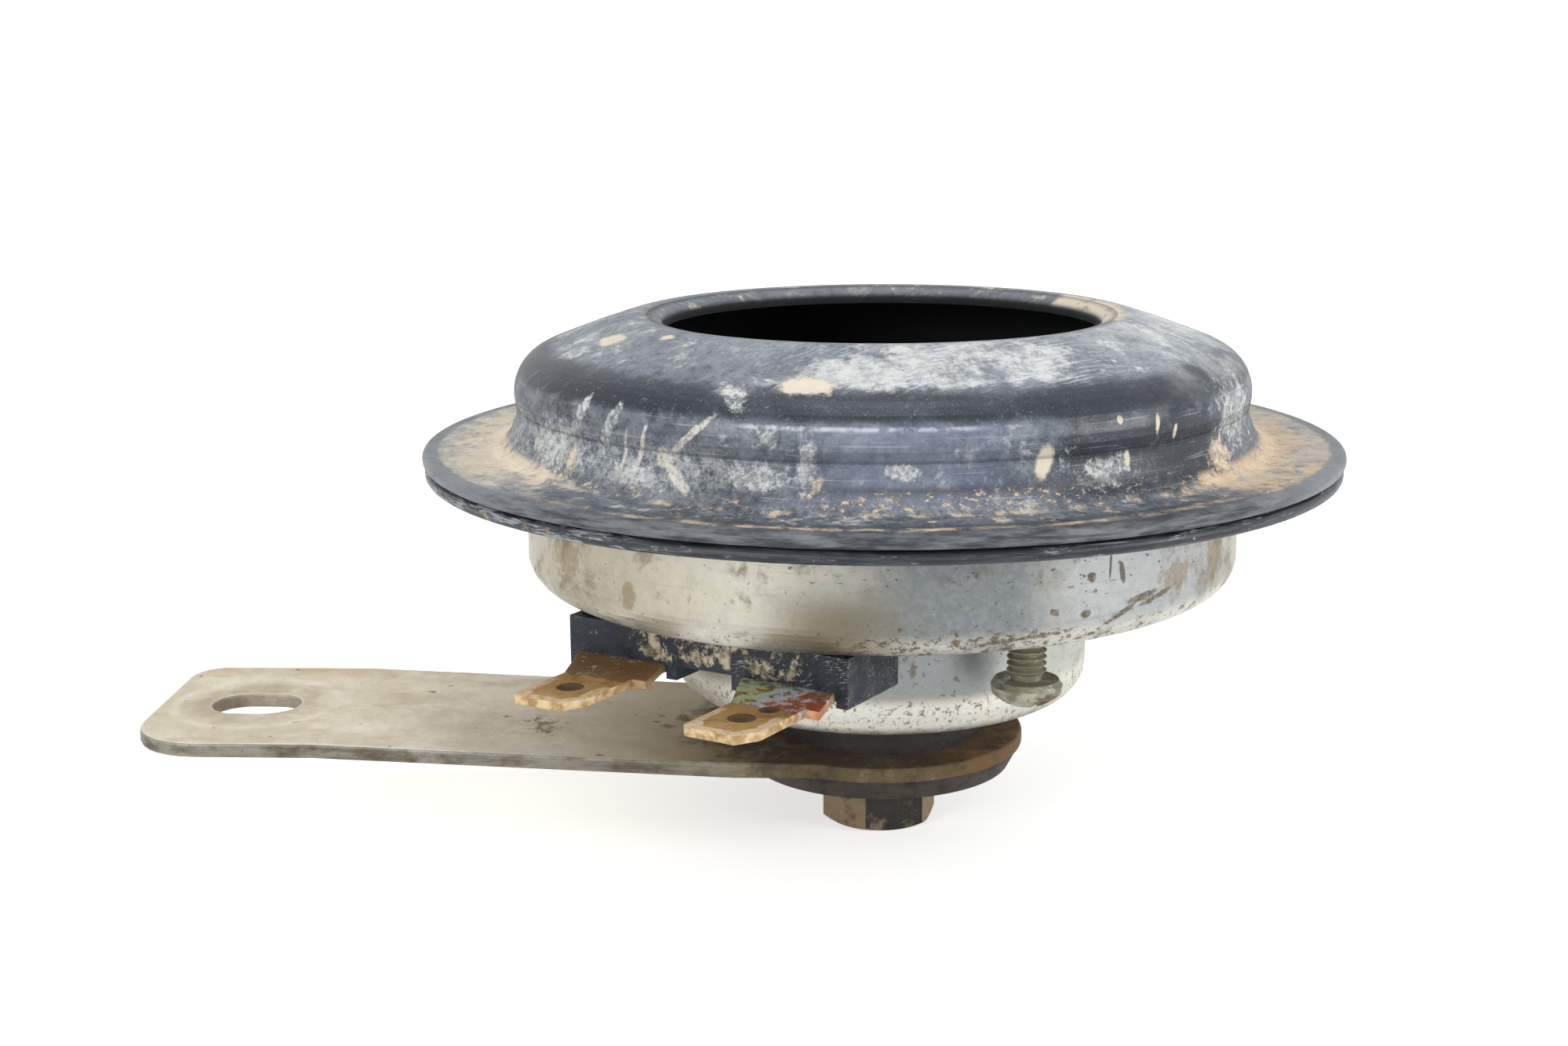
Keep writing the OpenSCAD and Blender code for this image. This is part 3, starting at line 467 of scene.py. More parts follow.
# %% Helpers for finishes
def new_finish(name, origin=RIM_TOP):
    """An empty material, and the place in mm that its patterns read."""
    made = bpy.data.materials.new(name)
    made.use_nodes = True
    made.node_tree.nodes.clear()
    return made, in_mm(made.node_tree, origin)


def surface(colour, roughness, height, depth, metallic=0.0, specular=0.5):
    """Ends a finish; height is 0 to 1 and depth is what 1 stands for, in mm."""
    bump = derive("ShaderNodeBump", None, {"Height": height, "Distance": depth / MM, "Strength": 1.0})
    shader = derive("ShaderNodeBsdfPrincipled", None, {
        "Base Color": colour, "Roughness": roughness, "Metallic": metallic,
        "Specular IOR Level": specular, "Normal": bump.outputs[0]})
    derive("ShaderNodeOutputMaterial", None, {"Surface": shader.outputs[0]})


def cloud(place, size, detail=3.0, rough=0.6, seed=0.0):
    """Soft noise from about 0.3 to 0.7, whose blobs are about size mm across."""
    moved = mapped(place, Location=tuple(seed * way for way in CLOUD_STEPS))
    return noise(moved, 1.0 / size, Detail=detail, Roughness=rough)[0]


def patches(place, size, level, soft=0.1, seed=0.0, rough=0.62):
    detail = 5.0 if size >= 4.0 else 4.0 if size >= 1.4 else 3.0
    values = {"Size": size, "Level": level, "Softness": soft, "Seed": seed, "Rough": rough, "Detail": detail}
    return use("patches", place, **values)["Mask"]


def specks(place, spacing, radius, share, seed=0.0, ragged=0.4):
    values = {"Spacing": spacing, "Radius": radius, "Share": share, "Seed": seed, "Ragged": ragged}
    return use("specks", place, **values)["Mask"]


def scratches(place, length, width, level=0.62, seed=0.0):
    return use("scratches", place, Length=length, Width=width, Level=level, Seed=seed)["Mask"]


def turned(place, degrees_z, degrees_y=0.0):
    """The place with X along a direction in the face, for drawn-out patterns."""
    return mapped(place, Rotation=(0.0, math.radians(degrees_y), math.radians(-degrees_z)))


def stretched(place, *scale):
    return mapped(place, Scale=scale)


def polar(place):
    """Radius, height and angle about the horn's axis."""
    return tuple(use("about_axis", place))


def bend(place, size, amount, seed=0.0):
    """The place pushed about by noise, so that edges and scratches wander."""
    moved = mapped(place, Location=tuple(seed * way for way in BEND_STEPS))
    centred = vector("SUBTRACT", noise(moved, 1.0 / size, Detail=3.0)["Color"], (0.5, 0.5, 0.5))
    return vector("ADD", place, vector("SCALE", centred, amount))


dressed = {}


def dress(material, *names):
    """Puts a finish on nodes of the model, through their own material slots."""
    for name in names:
        for slot in nodes[name].material_slots:
            slot.material = material
        dressed[name] = material.name


print("finish helpers ready")

# %% [markdown]
# The cover was painted dark, and most of what shows now is wear and dirt: a blue-grey haze
# over nearly all of it, chalky smears where it was rubbed, cream mud dried in splashes, and
# tan dust that collects where the wall meets the flat rim. Each of them is a layer with its own
# mask, and the level of a mask follows the height over the rim and the angle round the axis.

# %% Cover paint: haze, chalk and scratches
cover, place = new_finish("cover_paint")
radius, height, angle = polar(place)
wandering = bend(place, 6.0, 3.0, 4.0)
crown = step(height, 9.0, 9.9)
front = band(angle, -6.0, 36.0, 9.0)
under_crown = band(height, 7.2, 9.2, 0.5)
wall = band(height, 0.5, 7.0, 0.6)
right_wall = times(wall, band(angle, 26.0, 56.0, 5.0))
left_shoulder = times(band(angle, -78.0, -28.0, 8.0), band(height, 5.5, 9.6, 0.9))
flange = step(radius, 35.6, 36.3)
left_wall = times(wall, band(angle, -80.0, -20.0, 7.0))

haze_level = wear(0.42, (under_crown, 0.25), (right_wall, 0.32), (left_shoulder, 0.16), (crown, -0.08),
                  (flange, 0.02))
haze = patches(wandering, 7.0, haze_level, 0.16, 1.0, 0.7)
fine_level = wear(0.55, (right_wall, 0.16), (under_crown, 0.14), (left_shoulder, 0.08), (crown, -0.05))
fine_haze = patches(place, 0.9, fine_level, 0.1, 2.0, 0.8)
colour = mix(cloud(place, 9.0, seed=3.0), (27, 32, 39), (50, 57, 68))
colour = coat(colour, (88, 95, 107), haze, 0.88)
colour = coat(colour, (138, 145, 155), fine_haze, 0.3)
# Painted reflection: at the far right of the shoulder the paint is whitened like a reflection of the white
# room, with more film and chalk there and a pale grey over it.
right_reflection_zone = times(step(height, 7.0, 8.6), band(angle, 48.0, 120.0, 12.0))
film_level = wear(0.68, (crown, -0.2), (left_wall, -0.03), (right_wall, 0.16), (left_shoulder, 0.14),
                  (under_crown, 0.17), (right_reflection_zone, -0.15))
film = patches(wandering, 11.0, film_level, 0.2, 24.0, 0.6)
colour = coat(colour, (154, 160, 167), film, 0.5)
right_reflection = times(right_reflection_zone, step(cloud(place, 5.0, seed=41.0), 0.36, 0.58))
colour = coat(colour, (188, 191, 194), right_reflection, 0.55)
pits = patches(place, 0.8, 0.58, 0.08, 30.0, 0.85)
colour = coat(colour, (42, 48, 57), pits, 0.55)

left_crown = times(crown, band(angle, -46.0, -14.0, 8.0))
right_crown = times(crown, band(angle, 24.0, 62.0, 8.0))
far_wall = times(wall, step(angle, 48.0, 60.0))
lip_side = times(crown, step(radius, 26.0, 23.0))
chalk_level = wear(0.61, (crown, -0.04), (times(crown, front), -0.13), (under_crown, 0.2), (right_reflection_zone, -0.05),
                   (left_crown, 0.06), (right_crown, 0.05), (left_shoulder, 0.12), (right_wall, 0.12),
                   (far_wall, 0.06), (lip_side, 0.03))
chalk = patches(wandering, 5.0, chalk_level, 0.075, 5.0, 0.8)
mottled = patches(place, 1.5, 0.47, 0.12, 25.0, 0.85)
chalk = times(chalk, blend(mottled, 0.4, 0.96))
dust_level = wear(0.55, (crown, -0.05), (under_crown, 0.15), (right_wall, 0.1), (left_wall, -0.03))
chalk_dust = patches(place, 2.0, dust_level, 0.14, 6.0, 0.85)
low_left = times(band(height, 0.9, 4.6, 1.1), band(angle, -86.0, -20.0, 8.0))
low_left = times(low_left, patches(bend(place, 4.0, 2.5, 35.0), 1.1, 0.51, 0.07, 36.0, 0.88))
colour = coat(colour, (172, 178, 184), chalk_dust, 0.26)
colour = coat(colour, (212, 214, 212), most(times(chalk, 0.92), times(low_left, 0.38)))

brushed = scratches(turned(bend(place, 9.0, 1.6, 8.0), 128.0), 6.0, 0.3, 0.53, 7.0)
brushed = times(brushed, crown, blend(front, 0.35, 1.0), step(cloud(place, 9.0, seed=9.0), 0.4, 0.52))
rubbed = scratches(turned(bend(place, 12.0, 5.0, 10.0), 35.0, 40.0), 5.0, 0.16, 0.62, 11.0)
round_scuffs = scratches(stretched(place, 0.11, 0.11, 5.0), 1.0, 1.0, 0.6, 12.0)
round_scuffs = times(round_scuffs, wall)
scuffs = most(times(brushed, 0.7), times(rubbed, 0.3), times(round_scuffs, 0.28))
colour = coat(colour, (212, 215, 217), scuffs)
wiped = scratches(turned(bend(place, 7.0, 1.2, 33.0), 112.0), 5.0, 0.26, 0.55, 34.0)
wiped = times(wiped, crown, band(angle, 4.0, 24.0, 5.0))
colour = coat(colour, (112, 119, 130), wiped, 0.55)

# %% [markdown]
# The sharper line where the shoulder turns into the wall carries a painted highlight in front,
# broken into patches, with a fainter and wider painted highlight round it. The splashes
# are single marks, each with its own place, size and tilt, because they are few and the eye
# finds them at once.

# %% Cover paint: ridge, splashes and mud
# Painted highlight: a thin pale line along the ridge, and a faint wider one round it.
ridge_highlight = times(band(height, 6.55, 6.85, 0.14), band(angle, -19.0, 13.0, 3.0),
              patches(place, 1.6, 0.47, 0.1, 13.0, 0.7))
soft_ridge_highlight = times(band(height, 5.9, 7.1, 0.5), patches(place, 4.0, 0.53, 0.12, 14.0))
colour = coat(colour, (206, 210, 218), most(ridge_highlight, times(soft_ridge_highlight, 0.2)), 0.9)

splashes = marks(
    place,
    (31.0, -11.4, 9.6, (1.7, 2.5, 0.9), 0.0, 0.16),
    (27.1, -63.1, 11.0, (1.6, 2.0, 0.9), 0.0, 0.16),
    (34.6, 22.5, 3.6, (0.8, 0.78, 1.55), 16.0, 0.08),
    (34.8, 36.2, 3.2, (0.7, 0.32, 0.8), 0.0, 0.14),
    (34.6, 34.8, 6.5, (0.7, 0.38, 0.4), 0.0, 0.1),
    (34.7, 41.8, 5.8, (0.7, 0.26, 0.9), 6.0, 0.14),
    (34.8, 45.5, 4.8, (0.7, 0.24, 0.7), 10.0, 0.14),
    (24.8, -49.2, 11.6, (0.6, 0.8, 0.5), 0.0, 0.2),
)
grey_splashes = marks(
    place,
    (30.3, -65.1, 9.8, (1.6, 1.6, 0.8), 0.0, 0.22),
    (32.5, -22.0, 8.9, (1.8, 2.2, 0.9), 30.0, 0.26),
    (34.6, 3.0, 3.3, (0.8, 1.5, 0.7), 10.0, 0.24),
    (34.6, -41.0, 5.6, (1.0, 0.6, 2.8), 26.0, 0.28),
    (34.6, -48.0, 6.0, (1.0, 0.6, 2.6), 26.0, 0.28),
    (34.6, -9.8, 3.6, (1.0, 0.8, 2.5), 4.0, 0.26),
    (34.8, -17.0, 2.6, (1.0, 2.6, 1.1), 0.0, 0.32),
    (34.9, 32.5, 2.5, (1.0, 2.8, 1.2), 0.0, 0.3),
    (34.0, 64.0, 5.2, (2.2, 4.2, 3.6), -10.0, 0.3),
    (34.8, -54.0, 2.6, (1.0, 4.2, 2.2), 0.0, 0.32),
    (34.8, -36.0, 1.8, (1.0, 3.6, 1.2), 0.0, 0.34),
)
tan_splashes = marks(
    place,
    (35.2, 57.0, 1.9, (1.0, 2.1, 2.1), 0.0, 0.22),
    (34.7, -8.8, 1.7, (0.9, 0.45, 1.4), 30.0, 0.2),
    (34.8, -49.5, 1.8, (1.0, 0.7, 1.6), 10.0, 0.26),
)
strokes = marks(
    place,
    (34.6, -27.1, 5.4, (1.4, 0.34, 3.3), 49.0, 0.13),
    (34.8, -28.7, 2.1, (1.4, 0.48, 2.2), -48.0, 0.15),
    (34.6, -31.0, 3.5, (1.2, 1.1, 0.9), 0.0, 0.22),
    (34.6, -35.0, 4.0, (1.2, 0.24, 2.8), 16.0, 0.13),
    (34.6, -38.2, 3.4, (1.2, 0.18, 2.4), 10.0, 0.13),
)
blue_front = times(wall, band(angle, -9.0, 18.0, 6.0))
colour = coat(colour, (126, 135, 158), blue_front, 0.34)
torn_up = patches(place, 0.7, 0.49, 0.05, 37.0, 0.85)
colour = coat(colour, (206, 208, 206), grey_splashes, blend(mottled, 0.3, 0.95),
              blend(torn_up, 0.35, 1.0))
colour = coat(colour, (222, 216, 204), strokes, blend(torn_up, 0.45, 0.95), 0.85)
colour = coat(colour, (226, 206, 180), tan_splashes, blend(mottled, 0.45, 0.9),
              blend(torn_up, 0.5, 1.0))
colour = coat(colour, mix(cloud(place, 1.2, seed=26.0), (228, 219, 204), (216, 200, 178)), splashes, 0.93)

groove_level = wear(0.625, (band(angle, -7.0, 27.0, 6.0), -0.055))
groove_mud = patches(stretched(place, 1.0, 1.0, 1.8), 0.8, groove_level, 0.035, 15.0, 0.8)
groove_mud = times(band(height, 0.5, 1.7, 0.35), groove_mud)
# Painted shadow in the groove low on the wall.
groove_shadow = times(band(height, 1.5, 2.1, 0.3), band(angle, -8.0, 50.0, 5.0))
side_dirt = most(band(angle, -140.0, -50.0, 10.0), band(angle, 50.0, 140.0, 9.0))
back_dirt = most(step(angle, 120.0, 140.0), step(angle, -120.0, -140.0))
bead = step(plus(radius, cloud(place, 2.0, seed=31.0)), 42.3, 42.8)
rim_level = wear(0.64, (band(angle, -26.0, 30.0, 8.0), 0.08), (side_dirt, -0.16), (back_dirt, -0.1),
                 (step(radius, 37.0, 41.8), 0.2), (times(side_dirt, step(radius, 38.0, 36.2)), -0.08))
rim_mud = times(flange, patches(wandering, 3.2, rim_level, 0.12, 16.0, 0.8))
pale_rim = times(flange, side_dirt, patches(place, 2.2, 0.46, 0.16, 38.0, 0.8))
colour = coat(colour, (168, 170, 170), pale_rim, 0.75)
fillet_mud = patches(place, 1.8, wear(0.62, (side_dirt, -0.2)), 0.05, 17.0, 0.76)
fillet_mud = times(band(height, -0.2, 0.9, 0.35), fillet_mud)
loose = polar(bend(place, 4.0, 2.2, 32.0))[0]
ring_line = times(band(loose, 40.6, 41.5, 0.35), flange, patches(place, 2.4, 0.49, 0.08, 18.0, 0.8))
inner_line = times(band(radius, 36.4, 37.0, 0.3), flange, patches(place, 2.4, 0.55, 0.08, 27.0, 0.75))
mud = most(times(rim_mud, 0.9), times(fillet_mud, 0.8), times(groove_mud, 0.75), times(ring_line, 0.85),
           times(inner_line, 0.7))
rubbed_level = wear(0.62, (step(radius, 37.0, 42.0), -0.14))
rubbed_off = times(flange, patches(bend(place, 5.0, 4.0, 39.0), 5.0, rubbed_level, 0.1, 40.0, 0.78))
mud = times(mud, minus(1.0, bead), minus(1.0, times(rubbed_off, 0.75)))
colour = coat(colour, (58, 62, 68), groove_shadow, 0.6)
dark_edge = times(step(radius, 38.6, 40.2), band(angle, -40.0, 66.0, 14.0))
colour = coat(colour, (30, 34, 41), dark_edge, 0.55)
right_shoulder = times(band(angle, 26.0, 66.0, 9.0), band(height, 6.6, 8.9, 0.6))
colour = coat(colour, (36, 41, 49), right_shoulder, 0.45)
mud_colour = mix(cloud(place, 2.0, seed=19.0), (196, 166, 130), (234, 214, 186))
mud_colour = coat(mud_colour, (232, 216, 192), step(angle, -30.0, -60.0))
colour = coat(colour, mud_colour, mud)
scuff_level = wear(0.53, (band(angle, -90.0, -28.0, 12.0), -0.06))
bead_scuffs = patches(stretched(place, 0.25, 0.25, 2.5), 1.0, scuff_level, 0.18, 28.0, 0.7)
bead_colour = mix(cloud(place, 6.0, seed=29.0), (28, 32, 38), (58, 63, 71))
bead_colour = coat(bead_colour, (140, 145, 150), bead_scuffs, 0.55)
bead_colour = coat(bead_colour, (128, 132, 136), side_dirt, 0.65)
colour = coat(colour, bead_colour, bead)

drops = specks(place, 5.0, 0.07, 0.4, 20.0, 0.12)
colour = coat(colour, (226, 216, 198), drops, 0.8)

# %% [markdown]
# Inside the opening the paint is black, apart from dust on the lip, and it is darkened
# further to near black as painted shade of the cavity. The inner faces of the sheet are told
# from the outer ones by their normals. The mud and the splashes feed the bump, so they stand
# on the paint.

# %% Cover paint: lip, inside and surface
inside = times(step(radius, 21.4, 20.6), step(height, 11.6, 11.0))
face = own_normal(place)
outward = vector("DOT_PRODUCT", face, vector("MULTIPLY", place, (1.0, 1.0, 0.0)))
downward = vector("DOT_PRODUCT", face, (0.0, 0.0, -1.0))
deep = times(most(step(outward, -2.0, -8.0), step(downward, 0.1, 0.3)), step(radius, 21.4, 22.0),
             step(radius, 37.0, 36.0))
lip = times(band(radius, 20.2, 23.0, 0.6), step(height, 10.8, 11.4))
lip_level = wear(0.63, (band(angle, 70.0, 128.0, 14.0), -0.24), (band(angle, -20.0, 25.0, 6.0), 0.2))
lip_dust = times(lip, patches(place, 3.2, lip_level, 0.07, 21.0, 0.7))
colour = coat(colour, (84, 88, 94), lip, 0.6)
colour = coat(colour, (222, 210, 188), lip_dust, 0.85)
# Painted shade: the opening and the inner faces of the sheet are near black.
cavity_shade = most(inside, deep)
colour = coat(colour, (15, 17, 18), cavity_shade)
dirt = most(mud, splashes, times(grey_splashes, 0.4), times(lip_dust, 0.6))
grain = cloud(place, 0.35, 3.0, seed=22.0)
roughness = blend(most(dirt, times(chalk, 0.7), cavity_shade), blend(haze, 0.38, 0.56), 0.9)
bump = wear(times(grain, 0.35), (rim_mud, 0.45), (groove_mud, 0.55), (most(splashes, tan_splashes), 0.45),
            (cloud(place, 3.0, seed=23.0), 0.25))
surface(colour, roughness, bump, 0.11, 0.0, 0.3)
dress(cover, "sound_cover")
print("cover paint:", len(place.id_data.nodes), "nodes")

# %% [markdown]
# The ring under the rim has the same paint, blacker, because dust slides off it. What shows
# are grey scuffs along it, more at the left where it was handled, and a few tan crumbs.

# %% Ring paint
ring, place = new_finish("ring_paint")
radius, height, angle = polar(place)
left = band(angle, -90.0, -28.0, 12.0)
drawn = stretched(place, 0.22, 0.22, 2.6)
colour = mix(cloud(place, 6.0, seed=1.0), (18, 19, 22), (44, 48, 53))
haze = patches(drawn, 1.0, wear(0.56, (left, -0.09)), 0.14, 2.0, 0.7)
colour = coat(colour, (90, 96, 104), haze, 0.45)
pale = patches(drawn, 0.8, wear(0.66, (left, -0.12)), 0.05, 3.0, 0.78)
colour = coat(colour, (180, 184, 188), pale, 0.6)
crumbs = times(specks(place, 2.6, 0.12, 0.25, 4.0, 0.6), 0.8)
lower = times(step(height, -1.4, -1.9), patches(place, 1.4, wear(0.68, (left, -0.1)), 0.06, 5.0, 0.8))
colour = coat(colour, (176, 148, 114), most(crumbs, times(lower, 0.75)))
line = scratches(stretched(place, 0.08, 0.08, 7.0), 1.0, 1.0, 0.63, 6.0)
colour = coat(colour, (164, 168, 172), line, 0.5)
roughness = blend(most(haze, crumbs), 0.34, 0.62)
bump = wear(times(cloud(place, 0.4, 3.0, seed=7.0), 0.35), (crumbs, 0.5), (pale, 0.1), (line, -0.15))
surface(colour, roughness, bump, 0.09, 0.0, 0.3)
dress(ring, "rim_ring")

# %% [markdown]
# The case is zinc-plated steel, satin and a little cloudy. It is warm and stained at the left,
# and its lower corner has a crust of rust specks. Its satin shine is painted into the colour: a
# cool reflection in the middle, pale highlights on each side of it and along the lower corner,
# and painted shade in brown patches just under the rim. Brown water marks hang under the rim.
# The plating is part metal, part dull oxide, so it isn't a full mirror metal in the shader.

# %% Case zinc
CASE_SIDE = 33.9
CAN_SIDE = 20.0
case, place = new_finish("case_zinc")
radius, height, angle = polar(place)
wandering = bend(place, 5.0, 2.4, 1.0)
wide = step(radius, 22.0, 24.0)
colour = mix(cloud(place, 14.0, seed=2.0), (132, 132, 126), (164, 163, 153))
warm = most(step(angle, -8.0, -42.0), step(angle, 56.0, 84.0))
colour = coat(colour, (168, 160, 140), warm, 0.85)
# Painted reflection and highlights of the satin wall: a cool band in the middle, a pale band to its right and
# a warm sheen to its left.
cool_reflection = times(band(angle, 0.0, 24.0, 6.0), wide)
colour = coat(colour, (101, 108, 113), cool_reflection, 0.85)
right_highlight = times(band(angle, 26.0, 58.0, 6.0), wide)
colour = coat(colour, (156, 162, 167), right_highlight, 0.6)
sheen = times(wide, band(angle, -36.0, -10.0, 9.0))
colour = coat(colour, (190, 186, 172), sheen, 0.65)
# Painted highlight along the lower corner, broken into patches.
lower_highlight = times(wide, band(height, -12.9, -11.0, 0.7))
colour = coat(colour, (204, 201, 190), lower_highlight, patches(place, 6.0, 0.42, 0.15, 3.0), 0.8)
bloom = patches(place, 0.9, 0.53, 0.12, 4.0, 0.8)
colour = coat(colour, (206, 206, 200), bloom, 0.1)
shadow_bloom = patches(place, 1.6, 0.55, 0.14, 24.0, 0.8)
colour = coat(colour, (104, 100, 88), shadow_bloom, 0.12)
flow = scratches(stretched(place, 0.1, 0.1, 2.4), 1.0, 1.0, 0.58, 5.0)
colour = coat(colour, (112, 108, 96), flow, 0.16)

grime_level = wear(0.66, (step(height, -7.5, -4.5), -0.06), (step(angle, -34.0, -50.0), -0.08),
                   (step(angle, 42.0, 56.0), -0.1))
grime = patches(wandering, 4.0, grime_level, 0.1, 6.0, 0.76)
colour = coat(colour, (112, 96, 68), grime, 0.5)
# Painted shade: brown patches on the band just under the rim's overhang.
under_rim_shade = times(step(height, -5.2, -3.2), wide, patches(place, 2.0, 0.46, 0.14, 7.0, 0.78))
colour = coat(colour, (98, 88, 70), under_rim_shade, 0.5)
olive = times(wide, step(height, -5.0, -9.6), band(angle, -14.0, 2.0, 7.0), 0.8)
colour = coat(colour, (92, 84, 60), olive)

corner = times(wide, band(height, -13.4, -10.8, 0.7))
crust_level = wear(0.71, (corner, -0.065), (times(corner, band(angle, -6.0, 34.0, 5.0)), -0.045),
                   (cloud(place, 5.0, seed=25.0), -0.1), (step(angle, -2.0, -14.0), 0.035))
crust = patches(stretched(place, 0.8, 0.8, 1.4), 0.75, crust_level, 0.05, 8.0, 0.85)
flecks = specks(place, 1.2, 0.09, 0.16, 9.0, 0.6)
spots = specks(place, 4.5, 0.07, 0.45, 10.0, 0.3)
streaks = marks(
    place,
    (CASE_SIDE, 37.0, -10.3, (1.2, 2.0, 0.26), -22.0, 0.14),
    (CASE_SIDE, 41.5, -9.2, (1.2, 1.9, 0.32), -8.0, 0.16),
    (CASE_SIDE, 30.5, -9.8, (1.0, 0.6, 0.4), 0.0, 0.14),
    (CASE_SIDE, 44.5, -9.5, (1.2, 2.6, 0.26), -12.0, 0.22),
    (CASE_SIDE, 20.0, -11.4, (1.2, 4.6, 0.26), -4.0, 0.26),
    (CASE_SIDE, 31.5, -6.6, (1.0, 0.5, 0.5), 0.0, 0.26),
    (CASE_SIDE, 25.5, -9.3, (1.0, 0.45, 0.45), 0.0, 0.26),
)
broken = patches(place, 0.6, 0.46, 0.1, 26.0, 0.85)
streaks = times(streaks, blend(broken, 0.45, 1.0))
colour = coat(colour, mix(cloud(place, 0.8, seed=11.0), (52, 42, 24), (112, 90, 54)),
              most(crust, streaks), 0.88)
colour = coat(colour, (86, 76, 56), flecks, 0.55)
colour = coat(colour, (112, 94, 62), spots, 0.35)
stain = marks(
    place,
    (CASE_SIDE, -39.4, -9.3, (1.2, 0.95, 1.25), 0.0, 0.16),
    (CASE_SIDE, 49.2, -8.2, (1.2, 2.2, 1.6), -20.0, 0.26),
    (CASE_SIDE, 61.0, -7.6, (1.2, 1.6, 2.6), 15.0, 0.26),
    (CASE_SIDE, -55.0, -7.4, (1.2, 2.4, 2.6), 20.0, 0.3),
)
colour = coat(colour, (124, 104, 70), stain, blend(broken, 0.4, 0.66))
scratch_dark = marks(
    place,
    (CASE_SIDE, 34.8, -6.0, (0.8, 0.15, 1.25), 3.0, 0.08),
    (CASE_SIDE, 37.0, -6.8, (0.8, 0.3, 1.1), -12.0, 0.26),
)
colour = coat(colour, (66, 58, 46), scratch_dark, 0.85)

# %% [markdown]
# The coil can below has its own marks: a bluish upper part, a whiter lower corner with brown
# specks, a painted shadow where the terminal block touches it, and painted shade on its bottom edge.

# %% Case zinc: coil can and surface
can = step(radius, 21.0, 20.4)
can_top = times(can, band(height, -20.0, -12.5, 1.2))
colour = coat(colour, (132, 140, 148), can_top, 0.55)
can_low = times(can, band(height, -24.5, -20.6, 0.6))
colour = coat(colour, (216, 214, 203), can_low, 0.85)
can_right = times(can, band(angle, 34.0, 84.0, 10.0))
colour = coat(colour, (196, 196, 182), can_right, 0.5)
can_specks = times(can, patches(place, 0.6, wear(0.67, (can_low, -0.09)), 0.04, 12.0, 0.85))
can_marks = marks(
    place,
    (CAN_SIDE, 8.6, -17.6, (0.8, 0.32, 0.75), 0.0, 0.16),
    (CAN_SIDE, 20.0, -18.6, (0.8, 0.26, 0.26), 0.0, 0.2),
)
colour = coat(colour, (96, 80, 50), most(can_specks, can_marks), 0.66)
# Painted shadow: a thin dark band where the top of the terminal block meets the case.
block_shadow = times(mark(place, 33.0, -7.0, -12.9, (2.6, 5.0, 0.8), 0.0, 0.18), 0.8)
colour = coat(colour, (62, 50, 38), block_shadow)
# Painted shade on the can's bottom edge, where it turns under.
can_bottom_shade = times(step(height, -22.9, -24.0), blend(patches(place, 3.0, 0.45, 0.1, 13.0, 0.7), 0.6, 1.0))
colour = coat(colour, (84, 70, 46), can_bottom_shade, 0.85)
dull = most(crust, streaks, times(grime, 0.8), can_specks, block_shadow)
roughness = blend(dull, blend(cloud(place, 4.0, seed=14.0), 0.26, 0.5), 0.85)
metal = blend(dull, 0.6, 0.0)
bump = wear(times(cloud(place, 0.5, 4.0, seed=15.0), 0.22), (cloud(place, 5.0, 2.0, seed=16.0), 0.5),
            (crust, 0.35))
surface(colour, roughness, bump, 0.1, metal)
dress(case, "case_shell")
print("case zinc:", len(place.id_data.nodes), "nodes")

# %% [markdown]
# The bracket is plain strip steel. Its plating has gone dull grey-beige, it turns brown towards
# the stud, partly with rust and partly as painted shade under the case, and its near edge is
# worn to dark steel with rust. It stays in its own frame, so its places are measured from the slot.

# %% Bracket zinc
SLOT_MIDDLE = (0.0, 0.0, 0.0)
strip, place = new_finish("bracket_zinc", SLOT_MIDDLE)
from_stud = in_mm(place.id_data)
radius, _, angle = polar(from_stud)
across, along, _ = axes_of(place)
normal = axes_of(own_normal(place))
side = step(absolute(normal[2]), 0.55, 0.35)
top = step(normal[2], 0.3, 0.6)
wandering = bend(place, 7.0, 4.0, 1.0)
colour = mix(cloud(place, 9.0, seed=2.0), (184, 172, 146), (222, 212, 188))
pale = patches(wandering, 9.0, wear(0.54, (band(along, 20.0, 44.0, 7.0), -0.12)), 0.16, 3.0, 0.66)
colour = coat(colour, (232, 225, 208), pale, 0.8)
fine = patches(place, 0.9, 0.54, 0.12, 4.0, 0.75)
colour = coat(colour, (122, 114, 94), fine, 0.12)
cross = scratches(turned(bend(place, 14.0, 3.0, 6.0), 75.0), 9.0, 0.2, 0.63, 5.0)
colour = coat(colour, (214, 210, 200), cross, 0.3)
marks_dark = marks(
    from_stud,
    (19.6, -92.0, -28.5, (1.0, 0.9, 1.0), 0.0, 0.6),
    (21.0, -84.0, -28.5, (0.6, 0.7, 1.0), 0.0, 0.6),
    (33.0, -83.0, -28.5, (1.2, 2.2, 1.0), 0.0, 0.7),
)
colour = coat(colour, (72, 62, 42), marks_dark, 0.6)

# %% [markdown]
# Round the stud the steel is brown with rust, and the edges show it most. The side faces of the
# strip are told from the top by their normals, because wear there follows the cut edge.

# %% Bracket zinc: rust and edges
near_stud = step(radius, 21.5, 14.0)
